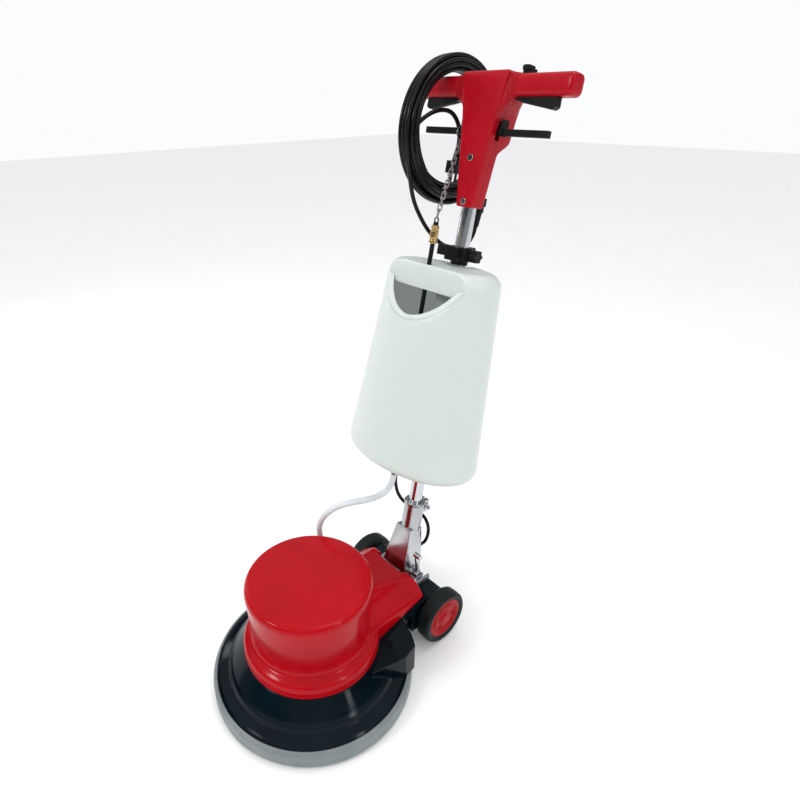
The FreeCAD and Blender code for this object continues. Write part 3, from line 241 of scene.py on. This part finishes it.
# Each finish: its colour, the deeper tone of its patches, its roughness, and what else sets it apart.
FINISHES = {
    "red_cover": ((0.42, 0.0006, 0.006), (0.34, 0.0004, 0.004), 0.2, dict(
        coat=0.1, rounding=3, depth=0.02, shine=0.12)),
    "red_head": ((0.39, 0.001, 0.010), (0.32, 0.0008, 0.007), 0.3, dict(
        coat=0.06, rounding=2, grain=1400, depth=0.05, shine=0.15)),
    "red_hub": ((0.36, 0.001, 0.006), (0.25, 0.0008, 0.004), 0.36, dict(depth=0.06, shine=0.15)),
    "deck_paint": ((0.0022, 0.0075, 0.0115), (0.0010, 0.0040, 0.0065), 0.13, dict(
        coat=0.05, shine=0.1, rounding=4, grain=700)),
    "bumper_rubber": ((0.185, 0.215, 0.215), (0.125, 0.152, 0.155), 0.42, dict(
        rounding=3, grain=1600, depth=0.12, patches=14)),
    "tyre_rubber": ((0.010, 0.015, 0.014), (0.005, 0.008, 0.008), 0.55, dict(
        shine=0.2, rounding=3, grain=1500, depth=0.2)),
    "chrome": ((0.66, 0.67, 0.69), (0.58, 0.59, 0.61), 0.1, dict(metallic=1, depth=0.01, rough_spread=0.04)),
    "cast_chrome": ((0.56, 0.57, 0.58), (0.42, 0.43, 0.44), 0.2, dict(
        metallic=1, rounding=2.5, grain=350, depth=0.12)),
    "chain_steel": ((0.40, 0.39, 0.37), (0.24, 0.23, 0.22), 0.28, dict(
        metallic=1, rounding=0.3, grain=700, depth=0.05)),
    "steel": ((0.60, 0.61, 0.62), (0.46, 0.47, 0.48), 0.32, dict(
        metallic=1, rounding=0.8, grain=500, depth=0.05, stretch=(1, 1, 7))),
    "cast_metal": ((0.50, 0.51, 0.52), (0.36, 0.37, 0.38), 0.5, dict(
        metallic=1, rounding=2, grain=500, depth=0.3)),
    "brass": ((0.60, 0.42, 0.17), (0.46, 0.30, 0.11), 0.24, dict(metallic=1, rounding=0.6)),
    "copper": ((0.50, 0.17, 0.05), (0.33, 0.10, 0.03), 0.35, dict(
        metallic=0.6, rounding=1, grain=1200, depth=0.5, stretch=(1, 1, 6))),
    "black_plastic": ((0.006, 0.0065, 0.007), (0.003, 0.0034, 0.004), 0.38, dict(
        shine=0.2, rounding=1.2, grain=1800, depth=0.12)),
    "cord_rubber": ((0.0045, 0.0045, 0.005), (0.002, 0.002, 0.0025), 0.26, dict(
        shine=0.22, coat=0.03, rounding=0.5, grain=1500, depth=0.06, patches=30)),
    "pad_fibre": ((0.022, 0.022, 0.024), (0.006, 0.006, 0.007), 0.95, dict(
        rounding=2, grain=800, depth=1.0, patches=60, sheen=0.3, specks=0.35)),
    "tank_plastic": ((0.60, 0.66, 0.61), (0.58, 0.65, 0.605), 0.36, dict(
        coat=0.05, rounding=0, grain=500, depth=0.0, patches=3, scatter=0.55, rough_spread=0.0)),
    "hose_silicone": ((0.66, 0.70, 0.72), (0.57, 0.61, 0.64), 0.3, dict(
        coat=0.2, rounding=0.5, depth=0.05, patches=25)),
    "capacitor_can": ((0.62, 0.63, 0.65), (0.52, 0.53, 0.55), 0.3, dict(metallic=1, rounding=1, depth=0.04)),
}
MATERIALS = {
    name: surface(name, colour, deep, roughness, **rest)
    for name, (colour, deep, roughness, rest) in FINISHES.items()
}


def finish_piece(piece, material):
    """Gives a piece its one material."""
    piece.data.materials.clear()
    piece.data.materials.append(MATERIALS[material])
    return piece


# ---------------------------------------------------------------- mesh helpers


def mesh_piece(name, points, faces, matrix=Matrix.Identity(4)):
    """A smooth-shaded mesh from points in metres, moved by a matrix."""
    mesh = bpy.data.meshes.new(name)
    mesh.from_pydata([tuple(matrix @ Vector(p)) for p in points], [], faces)
    mesh.validate()
    mesh.update()
    shape = bmesh.new()
    shape.from_mesh(mesh)
    bmesh.ops.recalc_face_normals(shape, faces=shape.faces)
    shape.to_mesh(mesh)
    shape.free()
    shade(mesh)
    return link(name, mesh)


def shade(mesh, angle=32):
    """Smooth shading with creases kept where faces meet at more than an angle."""
    for face in mesh.polygons:
        face.use_smooth = True
    shape = bmesh.new()
    shape.from_mesh(mesh)
    for edge in shape.edges:
        sharp = len(edge.link_faces) == 2 and edge.calc_face_angle(0) > math.radians(angle)
        edge.smooth = not sharp
    shape.to_mesh(mesh)
    shape.free()


def skin(name, rings, matrix=Matrix.Identity(4), ends=True):
    """A closed surface through rings of equal point counts, capped at its two ends."""
    count = len(rings[0])
    points = [p for ring in rings for p in ring]
    faces = []
    for row in range(len(rings) - 1):
        for k in range(count):
            after = (k + 1) % count
            lower, upper = row * count, (row + 1) * count
            faces.append((lower + k, lower + after, upper + after, upper + k))
    if ends:
        faces.append(tuple(range(count))[::-1])
        faces.append(tuple((len(rings) - 1) * count + k for k in range(count)))
    return mesh_piece(name, points, faces, matrix)


def rounded_line(corners, reach, steps=5):
    """A line of (a, b) corners in millimetres whose inner corners are eased by short curves."""
    line = [Vector(corners[0])]
    for before, corner, after in zip(corners, corners[1:], corners[2:]):
        before, corner, after = Vector(before), Vector(corner), Vector(after)
        near = corner + (before - corner).normalized() * min(reach, (before - corner).length * 0.48)
        far = corner + (after - corner).normalized() * min(reach, (after - corner).length * 0.48)
        for k in range(steps + 1):
            t = k / steps
            line.append(near * (1 - t) ** 2 + corner * 2 * t * (1 - t) + far * t * t)
    line.append(Vector(corners[-1]))
    return line


def lathe(name, corners, matrix=Matrix.Identity(4), reach=3, steps=144, closed=False):
    """Turns a rounded line of (radius, height) corners in millimetres about the local z axis."""
    line = rounded_line(corners, reach)
    rings = []
    for radius, height in line:
        radius = max(radius, 0.02)
        rings.append([
            (radius * MM * math.cos(a), radius * MM * math.sin(a), height * MM)
            for a in (2 * math.pi * k / steps for k in range(steps))])
    if closed:
        rings.append(rings[0])
        return skin(name, rings, matrix, ends=False)
    return skin(name, rings, matrix)


def boolean(piece, other, operation="DIFFERENCE"):
    """Cuts one closed mesh with another and throws the cutter away."""
    step = piece.modifiers.new("cut", "BOOLEAN")
    step.operation = operation
    step.solver = "EXACT"
    step.object = other
    graph = bpy.context.evaluated_depsgraph_get()
    graph.update()
    mesh = bpy.data.meshes.new_from_object(piece.evaluated_get(graph))
    piece.modifiers.clear()
    piece.data = mesh
    bpy.data.objects.remove(other)
    return piece


def block(name, low, high, matrix=Matrix.Identity(4)):
    """A plain box for cutting, in millimetres."""
    points = [(x * MM, y * MM, z * MM) for x in (low[0], high[0]) for y in (low[1], high[1])
              for z in (low[2], high[2])]
    faces = [(0, 1, 3, 2), (4, 6, 7, 5), (0, 4, 5, 1), (2, 3, 7, 6), (0, 2, 6, 4), (1, 5, 7, 3)]
    return mesh_piece(name, points, faces, matrix)


def spline(name, points, thickness):
    """A round cord along a smooth curve whose control points are given in metres."""
    curve = bpy.data.curves.new(name, "CURVE")
    curve.dimensions = "3D"
    curve.bevel_depth = thickness / 2
    curve.bevel_resolution = 5
    curve.use_fill_caps = True
    line = curve.splines.new("NURBS")
    line.points.add(len(points) - 1)
    for point, place in zip(line.points, points):
        point.co = (*place, 1)
    line.order_u = 3
    line.use_endpoint_u = True
    line.resolution_u = 8
    return link(name, curve)


def as_mesh(piece):
    """The same piece as a plain mesh."""
    graph = bpy.context.evaluated_depsgraph_get()
    graph.update()
    mesh = bpy.data.meshes.new_from_object(piece.evaluated_get(graph))
    name = piece.name
    bpy.data.objects.remove(piece)
    for face in mesh.polygons:
        face.use_smooth = True
    return link(name, mesh)


# ---------------------------------------------------------------- mains cord

CORD = 0.0085
COIL_X, COIL_V, COIL_W = -100, 27, 975
COIL_RADIUS = 127.5
LEAD = [
    (0, 31, 832), (0, 31, 810), (-2, 33, 786), (-15, 35, 762), (-39, 34, 749), (-66, 29, 749), (-88, 17, 761),
    (-99, -2, 780), (-101, -24, 801), (-101, -46, 824), (-100, -64, 850),
]
TAIL = [
    (-94, -96, 958), (-90, -80, 980), (-86, -58, 998), (-83, -32, 1008), (-81, -5, 1008), (-80, 17, 993),
    (-79, 29, 970), (-79, 30, 944),
]
# Where each turn lies in the bundle's section, from the outer row to the inner one: (sideways, outwards).
ROWS = ((12.9, (8.6, 0, -8.6)), (4.3, (-12.9, -4.3, 4.3, 12.9)), (-12.9, (8.6, 0, -8.6)),
        (-4.3, (-12.9, -4.3, 4.3, 12.9)))
OUTER_ROW = ROWS[0][0]
TURNS = [(side, out) for out, sides in ROWS for side in sides]
POINTS_PER_TURN = 18
FIRST_ANGLE = math.radians(62)
LAST_ANGLE = math.radians(64)
FAN_OUT = 9  # how far the inner turns hang short of the outer ones, in millimetres
FADE_POINTS = 12  # the last points of the coil, where it meets the tail without hanging
DRIFT_START = 0.75  # the share of a turn after which it drifts to the next one's place
draw = random.Random(7)


def coil_points():
    """The coil's turns: each drifts to the next one's place late in its turn, and none is quite round."""
    points = []
    sway = [(draw.uniform(-1.1, 1.1), draw.uniform(-1.0, 1.0), draw.uniform(0, 6.28)) for _ in TURNS]
    total = len(TURNS) * POINTS_PER_TURN + round((LAST_ANGLE - FIRST_ANGLE) / (2 * math.pi) * POINTS_PER_TURN)
    for number in range(total + 1):
        place = min(number / POINTS_PER_TURN, len(TURNS) - 1e-6)
        turn = int(place)
        late = max(0.0, (place - turn - DRIFT_START) / (1 - DRIFT_START))
        ease = late * late * (3 - 2 * late)
        here = TURNS[turn]
        there = TURNS[min(turn + 1, len(TURNS) - 1)]
        angle = FIRST_ANGLE + number * 2 * math.pi / POINTS_PER_TURN
        ripple, wander, phase = sway[turn]
        fade = math.sin(math.pi * (place - turn)) ** 2
        side = here[0] + (there[0] - here[0]) * ease + fade * wander * math.sin(angle + phase)
        out = here[1] + (there[1] - here[1]) * ease + fade * ripple * math.cos(2 * angle + phase)
        fall = (1 + math.cos(angle)) / 2 * (OUTER_ROW - out) / (2 * OUTER_ROW)
        hang = FAN_OUT * fall * min(1, (total - number) / FADE_POINTS)
        radius = COIL_RADIUS + out
        points.append(on_mast(
            COIL_X + side + 0.4 * hang, COIL_V - radius * math.sin(angle),
            COIL_W - radius * math.cos(angle) + hang))
    return points


cord_points = [on_mast(*p) for p in LEAD] + coil_points() + [on_mast(*p) for p in TAIL]
mains_cord = spline("mains_cord", cord_points, CORD)
finish_piece(mains_cord, "cord_rubber")
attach(mains_cord, "mast")
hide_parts("cord_lead", "cord_coil", "cord_tail")

# ---------------------------------------------------------------- hose and motor cable

HOSE = 0.014
ROD_X, ROD_V = -8, -80
hose_route = [
    on_mast(ROD_X, ROD_V, 262), on_mast(ROD_X, ROD_V, 234),
    Vector((-0.018, 0.218, 0.354)), Vector((-0.034, 0.189, 0.346)),
    Vector((-0.054, 0.156, 0.345)), Vector((-0.074, 0.127, 0.334)), Vector((-0.092, 0.110, 0.308)),
    Vector((-0.108, 0.108, 0.273)), Vector((-0.118, 0.116, 0.236)), Vector((-0.122, 0.125, 0.200)),
    Vector((-0.122, 0.128, 0.167)), Vector((-0.122, 0.128, 0.137)),
]
hose = as_mesh(spline("solution_hose_tube", hose_route, HOSE))
finish_piece(hose, "hose_silicone")
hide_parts("solution_hose")
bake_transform(hose)

MOTOR_CABLE = 0.008
motor_route = [on_mast(*p) for p in (
    (-19, 0, 282), (-40, 0, 282), (-56, -3, 267), (-62, -8, 243), (-62, -11, 216), (-59, -9, 190),
    (-53, -2, 166), (-41, 10, 147), (-24, 25, 136), (-4, 37, 128), (16, 37, 119), (31, 31, 106),
    (35, 26, 88), (29, 27, 71), (17, 33, 56), (5, 40, 41), (0, 41, 22))]
motor_route += [
    Vector((0, 0.310, 0.118)), Vector((0, 0.295, 0.104)), Vector((0, 0.272, 0.101)),
    Vector((0, 0.250, 0.104))]
motor_cable = as_mesh(spline("motor_cable_tube", motor_route, MOTOR_CABLE))
finish_piece(motor_cable, "cord_rubber")
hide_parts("motor_cable")
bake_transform(motor_cable)

# ---------------------------------------------------------------- solution tank

TANK_FOOT, TANK_HEAD = 304, 722
TANK_SIZES = ((160, 123), (114, 87), (48, 40))  # half-width, half-depth and lead, at the foot and the head
TANK_EDGE, CAVITY_EDGE = 24, 16
MOUTH_EDGE = (-137, 613)
MOUTH_RISE = math.tan(math.radians(60.4))
PANEL_V, PANEL_THICK, CHORD_W = -93, 5, 675
GROOVE_HALF = 18
WALL = 6


def oval(w):
    """The tank's half-width, half-depth and how far its centre lies in front of the tube, at a height."""
    t = (w - TANK_FOOT) / (TANK_HEAD - TANK_FOOT)
    return [foot + (head - foot) * t for foot, head in TANK_SIZES]


def tank_form(name, inset, edge):
    """The tapered oval with its ends rounded over."""
    steps = 160
    rings = []
    low, high = TANK_FOOT + inset, TANK_HEAD - inset
    arc = [math.pi / 2 * k / 9 for k in range(10)]
    levels = [(low + edge * (1 - math.sin(a)), edge * (1 - math.cos(a))) for a in arc[::-1]]
    rise = (high - low - 2 * edge) / 24
    levels += [(low + edge + rise * k, 0) for k in range(1, 24)]
    levels += [(high - edge * (1 - math.sin(a)), edge * (1 - math.cos(a))) for a in arc]
    for w, shrink in levels:
        wide, deep, ahead = oval(w)
        wide, deep = wide - inset - shrink, deep - inset - shrink
        rings.append([
            (wide * MM * math.cos(a), (-ahead + deep * math.sin(a)) * MM, w * MM)
            for a in (2 * math.pi * k / steps for k in range(steps))])
    return skin(name, rings, MAST)


def mouth_cutter():
    """Everything above the mouth's slanted plane, in front of the top panel."""
    v, w = MOUTH_EDGE
    run = 80
    corners = [(v - run, w - run * MOUTH_RISE), (PANEL_V, w + (PANEL_V - v) * MOUTH_RISE), (PANEL_V, 800),
               (v - run, 800)]
    points = [(x * MM, v * MM, w * MM) for x in (-200, 200) for v, w in corners]
    faces = [(3, 2, 1, 0), (4, 5, 6, 7)] + [(k, (k + 1) % 4, 4 + (k + 1) % 4, 4 + k) for k in range(4)]
    return mesh_piece("mouth_cutter", points, faces, MAST)


tank = tank_form("solution_tank_shell", 0, TANK_EDGE)
cavity = tank_form("tank_cavity", WALL, CAVITY_EDGE)
boolean(cavity, block("groove_wall", (-GROOVE_HALF - WALL, -GROOVE_HALF - WALL, 250),
                      (GROOVE_HALF + WALL, 130, 800), MAST))
boolean(cavity, block("panel_wall", (-200, PANEL_V, CHORD_W), (200, PANEL_V + PANEL_THICK, 800), MAST))
boolean(tank, cavity)
boolean(tank, block("groove", (-GROOVE_HALF, -GROOVE_HALF, 250), (GROOVE_HALF, 130, 800), MAST))
boolean(tank, mouth_cutter())
ROD_WAY = 7
boolean(tank, block("rod_way", (ROD_X - ROD_WAY, ROD_V - ROD_WAY, 700),
                    (ROD_X + ROD_WAY, ROD_V + ROD_WAY, 760), MAST))
shade(tank.data, 38)
finish_piece(tank, "tank_plastic")
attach(tank, "mast")
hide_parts("solution_tank")


def mouth_line():
    """The mouth's lip in the slanted plane, from one end of the chord round to the other."""
    half = []
    for k in range(25):
        v = MOUTH_EDGE[0] + 4.5 + (PANEL_V - MOUTH_EDGE[0] - 4.5) * (k / 24) ** 2
        w = MOUTH_EDGE[1] + (v - MOUTH_EDGE[0]) * MOUTH_RISE
        wide, deep, ahead = oval(w)
        reach = min(1.0, abs(v + ahead) / (deep - 3))
        half.append(((wide - 3) * math.sqrt(max(0, 1 - reach * reach)), v, w))
    return [(-x, v, w) for x, v, w in half[::-1]] + half[1:]


def mouth_flange():
    """The raised band round the mouth: a flattened section carried along the lip, wider at its sides."""
    line = [Vector(p) for p in mouth_line()]
    normal = Vector((0, -math.sin(math.atan(MOUTH_RISE)), math.cos(math.atan(MOUTH_RISE))))
    middle = Vector((0, -104, 668))
    rings = []
    for number, point in enumerate(line):
        inward = middle - point
        inward -= normal * inward.dot(normal)
        inward.normalize()
        level = abs(number / (len(line) - 1) - 0.5) * 2
        width = 5.5 + 3.5 * level
        centre = point + inward * (width - 3.5) - normal * 1.5
        ring = []
        for k in range(16):
            a = 2 * math.pi * k / 16
            across = math.copysign(abs(math.cos(a)) ** 0.7, math.cos(a))
            ring.append((centre + inward * across * width + normal * math.sin(a) * 3.2) * MM)
        rings.append(ring)
    return skin("tank_mouth_band", rings, MAST)


band = finish_piece(mouth_flange(), "tank_plastic")
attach(band, "mast")

# ---------------------------------------------------------------- motor cover

cover = lathe("motor_cover_shell", [
    (0, 98.2), (144, 98.2), (145, 101), (145, 117), (142.5, 126), (135, 131.5), (127.5, 135.5), (124.6, 141),
    (124.4, 150), (126, 175), (131, 246), (132, 258), (127, 267.5), (118, 268), (0, 268)], reach=6)
SHROUD_FRONT, SHROUD_REAR = 70, 242
SHROUD_HALF = 100
EDGE_ROUND = 9


def shroud_ring(y, inset):
    """The shroud's closed section at a distance behind the drum's axis."""
    ridge = 203 - 42 * (y - SHROUD_FRONT) / (SHROUD_REAR - SHROUD_FRONT) - inset
    base = max(98.2, 97.6 + (y - 103) * 0.244)
    at_ridge = 62 - 16 * (ridge - 164) / 46 if ridge > 164 else 62 + 38 * (164 - ridge) / 31
    shoulder = (62, 164) if ridge > 166 else (at_ridge + 4, ridge - 3.5)
    side = SHROUD_HALF - inset
    half = [(side, base), (side, 133), (shoulder[0] - inset * 0.6, shoulder[1]),
            (at_ridge - 3 - inset, ridge), (0, ridge)]
    right = rounded_line(half, 11)
    loop = right + [Vector((-x, z)) for x, z in right[-2::-1]]
    return [(x * MM, y * MM, z * MM) for x, z in loop]


sections = [shroud_ring(SHROUD_FRONT + 8 * k, 0) for k in range(20)]
for k in range(7):
    turn_angle = math.pi / 2 * k / 6
    sections.append(shroud_ring(SHROUD_REAR - EDGE_ROUND * (1 - math.sin(turn_angle)),
                                EDGE_ROUND * (1 - math.cos(turn_angle))))
shroud = skin("shroud", sections)
boolean(shroud, block("notch", (-43, 226, 90), (43, 260, 200)))
boolean(cover, shroud, "UNION")
shade(cover.data, 28)
finish_piece(cover, "red_cover")
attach(cover, "base")
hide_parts("motor_cover")

# ---------------------------------------------------------------- handle head

HEAD_FOOT, HEAD_CROWN = 834, 1076
CROWN_FOOT = 1000  # where the neck ends and the T's arms begin
CROWN_ROUND = 8
ROOT_START, ROOT_LENGTH = 38, 34  # where each arm thins, outwards from the middle
GRIP_END, GRIP_ROUND = 177, 9
SEAM = 0.35


def rounded_section(low_a, high_a, low_b, high_b, corner, steps=6):
    """A rounded rectangle's corner points in two directions, anticlockwise."""
    loop = []
    for centre_a, centre_b, start in (
            (high_a - corner, high_b - corner, 0), (low_a + corner, high_b - corner, 90),
            (low_a + corner, low_b + corner, 180), (high_a - corner, low_b + corner, 270)):
        for k in range(steps + 1):
            a = math.radians(start + 90 * k / steps)
            loop.append((centre_a + corner * math.cos(a), centre_b + corner * math.sin(a)))
    return loop


def between(table, place):
    """A value on a smooth line through (place, value) rows."""
    for (start, first), (end, last) in zip(table, table[1:]):
        if place <= end:
            t = max(0.0, (place - start) / (end - start))
            return first + (last - first) * t * t * (3 - 2 * t)
    return table[-1][1]


def rounding_inset(past, radius):
    """How far a rounded end has drawn in at a distance past the start of its rounding."""
    return 0 if past < 0 else radius * (1 - math.sqrt(max(0, 1 - (past / radius) ** 2)))


COLUMN_BACK = ((HEAD_FOOT, 20), (934, 17.5), (962, 45), (1080, 44))


def column():
    """The head's neck and crown: rounded sections up the tube that widen and grow a hump behind."""
    rings = []
    levels = [HEAD_FOOT + 1.5, HEAD_FOOT + 4] + [HEAD_FOOT + 8 + 6 * k for k in range(38)]
    top = HEAD_CROWN - CROWN_ROUND
    levels += [top + CROWN_ROUND * math.sin(math.pi / 2 * k / 5) for k in range(1, 6)]
    for w in levels:
        inset = rounding_inset(w - top, CROWN_ROUND)
        inset = max(inset, 2.0 if w < HEAD_FOOT + 3 else 0)
        half = 18.5 + (w - HEAD_FOOT) * 0.122 if w < CROWN_FOOT else 38.8 + (w - CROWN_FOOT) * 0.19
        front = -20 - 6 * (w - HEAD_FOOT) / (HEAD_CROWN - HEAD_FOOT)
        back = between(COLUMN_BACK, w)
        section = rounded_section(-half + inset, half - inset, front + inset, back - inset, 4 - min(inset, 2))
        rings.append([(x * MM, v * MM, w * MM) for x, v in section])
    return skin("head_column", rings, MAST)


def arm_section(x, grow=0.0):
    """An arm's section at a distance from the middle, drawn larger or smaller by an amount."""
    t = max(0.0, min(1.0, (x - ROOT_START) / ROOT_LENGTH))
    ease = t * t * (3 - 2 * t)
    return rounded_section(-21 + 2.5 * ease - grow, 42 - 23.5 * ease + grow,
                           CROWN_FOOT + 33 * ease ** 0.45 - grow, HEAD_CROWN - 1 - 4 * ease + grow,
                           11 + max(grow, -4))


def arm(sign):
    """One arm of the T: it leaves the crown deep and tall and thins quickly to the grip."""
    rings = []
    tip = GRIP_END - GRIP_ROUND
    stations = [20, 30, 38, 43, 47, 51, 55, 59, 63, 67, 71, 75, 80, 90, 105, 120, 135, 150, 160, tip]
    stations += [tip + GRIP_ROUND * math.sin(math.pi / 2 * k / 6) for k in range(1, 7)]
    for x in stations:
        section = arm_section(x, -0.7 * rounding_inset(x - tip, GRIP_ROUND))
        rings.append([(sign * x * MM, v * MM, w * MM) for v, w in section])
    return skin(f"head_grip_{sign}", rings, MAST)


SLOT_HALF = 8.6
head = column()
for sign in (-1, 1):
    boolean(head, arm(sign), "UNION")
for sign in (-1, 1):
    low, high = sorted((sign * 56, sign * 150))
    boolean(head, block("trigger_slot", (low, -SLOT_HALF, 990), (high, SLOT_HALF, 1050), MAST))
boolean(head, block("lever_slot", (-70, -6.6, 960), (70, 6.6, 993), MAST))
boolean(head, block("button_slot", (60, 1.5, 1060), (84, 14.5, 1090), MAST))
tube_way = lathe("tube_way", [(0, 820), (15.1, 820), (15.1, 1000), (0, 1000)], MAST, reach=0.1, steps=64)
boolean(head, tube_way)
rear_shell = link("handle_rear_shell", head.data.copy())
head.name = "handle_front_shell"
boolean(head, block("rear_away", (-250, -SEAM, 780), (250, 200, 1150), MAST))
boolean(rear_shell, block("front_away", (-250, -200, 780), (250, SEAM, 1150), MAST))
for shell, node in ((head, "handle_front"), (rear_shell, "handle_rear")):
    shade(shell.data, 34)
    finish_piece(shell, "red_head")
    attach(shell, "mast")
    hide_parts(node)


def joined(name, pieces, material, body):
    """Several small pieces as one."""
    mesh = bpy.data.meshes.new(name)
    shape = bmesh.new()
    for piece in pieces:
        shape.from_mesh(piece.data)
        bpy.data.objects.remove(piece)
    shape.to_mesh(mesh)
    shape.free()
    piece = finish_piece(link(name, mesh), material)
    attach(piece, body)
    return piece


def bead(name, start, end, radius, steps=14):
    """A short round bar with domed ends between two points in metres."""
    start, end = Vector(start), Vector(end)
    turn_to = (end - start).to_track_quat("Z", "Y").to_matrix().to_4x4()
    length = (end - start).length / MM
    corners = [(0, -radius * 0.6), (radius * 0.75, -radius * 0.35), (radius, 0), (radius, length),
               (radius * 0.75, length + radius * 0.35), (0, length + radius * 0.6)]
    return lathe(name, corners, Matrix.Translation(start) @ turn_to, reach=radius * 0.3, steps=steps)


# Ribs round the roots of the grips.
RIB_START, RIB_PITCH = 52, 3.3
RIB_OUTLINE = ((-1.1, -0.8), (-0.8, 0.55), (0, 0.95), (0.8, 0.55), (1.1, -0.8))
ribs = []
for sign in (-1, 1):
    for k in range(6):
        x = RIB_START + RIB_PITCH * k
        rings = [
            [(sign * (x + offset) * MM, v * MM, w * MM) for v, w in arm_section(x + offset, grow)]
            for offset, grow in RIB_OUTLINE]
        ribs.append(skin("rib", rings, MAST))
joined("grip_ribs", ribs, "red_head", "mast")

# Ridges under each trigger, where the fingers pull. The trigger's underside slopes down outwards.
RIDGE_START, RIDGE_PITCH, RIDGE_HALF = 76, 4.6, 6.5
for name, sign in (("left", -1), ("right", 1)):
    ridges = []
    for k in range(15):
        x = RIDGE_START + RIDGE_PITCH * k
        w = 1027 - 13 * (x - 70) / 73
        ridges.append(bead("ridge", on_mast(sign * x, -RIDGE_HALF, w), on_mast(sign * x, RIDGE_HALF, w), 1.5))
    joined(f"trigger_ridges_{name}", ridges, "black_plastic", f"trigger_{name}")

# The brass ferrule that joins the valve rod to its chain, with two grooves round it.
ferrule = lathe("rod_ferrule", [
    (0, 762), (7.3, 762), (7.9, 763.5), (7.9, 768), (7.3, 769), (7.3, 772), (7.9, 773), (7.9, 785),
    (7.3, 786), (7.3, 789), (7.9, 790), (7.9, 793), (6.4, 796), (0, 796)],
    MAST @ Matrix.Translation((ROD_X * MM, ROD_V * MM, 0)), reach=0.8, steps=48)
finish_piece(ferrule, "brass")
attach(ferrule, "valve_rod")

# Moulded marks on the outer face of each wheel's hub, and its centre cap.
HUB_FACE = 0.140
AXLE_BACK, AXLE_HEIGHT = 0.275, 0.066
CAP = [(0, -6), (13, -6), (13, -1.2), (10.5, 0.2), (0, 0.6)]
RING = [(30, -8), (33.5, -8), (33.2, -3.4), (30.3, -3.4), (30, -8)]
SPOKE_INNER, SPOKE_OUTER, SPOKE_DEPTH = 0.017, 0.028, -0.0052
for name, sign in (("left", -1), ("right", 1)):
    face = Matrix.Translation((sign * HUB_FACE, AXLE_BACK, AXLE_HEIGHT))
    hub_frame = face @ Matrix.Rotation(sign * math.pi / 2, 4, "Y")
    marks = [lathe("cap", CAP, hub_frame, reach=1.2, steps=48),
             lathe("ring", RING, hub_frame, reach=0.5, steps=96, closed=True)]
    for k in range(3):
        angle = math.radians(90 + 120 * k)
        ends = [
            hub_frame @ Vector((reach * math.cos(angle), reach * math.sin(angle), SPOKE_DEPTH))
            for reach in (SPOKE_INNER, SPOKE_OUTER)]
        marks.append(bead("spoke", *ends, 2.2))
    joined(f"hub_marks_{name}", marks, "red_hub", f"wheel_{name}")

# ---------------------------------------------------------------- CAD pieces that stay

LOOKS = {
    "red_head": ("handle_front", "handle_rear"),
    "red_hub": ("wheel_hub_left", "wheel_hub_right"),
    "deck_paint": ("deck",),
    "bumper_rubber": ("bumper_ring",),
    "tyre_rubber": ("tyre_left", "tyre_right"),
    "chrome": ("handle_tube", "housing_screws", "tilt_lever", "sleeve_bolt"),
    "cast_chrome": ("hinge_casting",),
    "cast_metal": ("gearbox_housing", "lower_end_bell", "motor_shell", "upper_end_bell", "hinge_bracket"),
    "steel": ("ring_gear", "output_bearing", "rotor_bearings", "stator_core", "hinge_pin", "wheel_axle",
              "drive_plate", "planet_carrier", "planet_pins", "rotor_shaft", "rotor_core", "planet_gear_1",
              "planet_gear_2", "planet_gear_3", "trigger_springs"),
    "chain_steel": ("lever_chain",),
    "copper": ("stator_winding",),
    "capacitor_can": ("capacitors",),
    "pad_fibre": ("floor_pad",),
    "black_plastic": ("pad_driver", "cooling_fan", "hose_fitting", "tank_outlet", "tank_clamp", "cable_clip",
                      "switch_block", "cord_gland", "mains_plug", "clamp_knob", "valve_rod", "water_lever",
                      "trigger_left", "trigger_right", "lock_button"),
    "cord_rubber": ("cord_lead", "cord_coil", "cord_tail", "motor_cable"),
    "hose_silicone": ("solution_hose",),
    "tank_plastic": ("solution_tank",),
    "red_cover": ("motor_cover",),
}
for look, names in LOOKS.items():
    for name in names:
        NODES[name].data.materials.clear()
        NODES[name].data.materials.append(MATERIALS[look])

# ---------------------------------------------------------------- floor

FLOOR = 14
floor = mesh_piece("floor", [(-FLOOR, -FLOOR, 0), (FLOOR, -FLOOR, 0), (FLOOR, FLOOR, 0), (-FLOOR, FLOOR, 0)],
                   [(0, 1, 2, 3)])
floor.data.materials.append(surface(
    "floor_paint", (0.95, 0.95, 0.955), (0.93, 0.935, 0.94), 0.6, rounding=0.1, depth=0.01, patches=2))
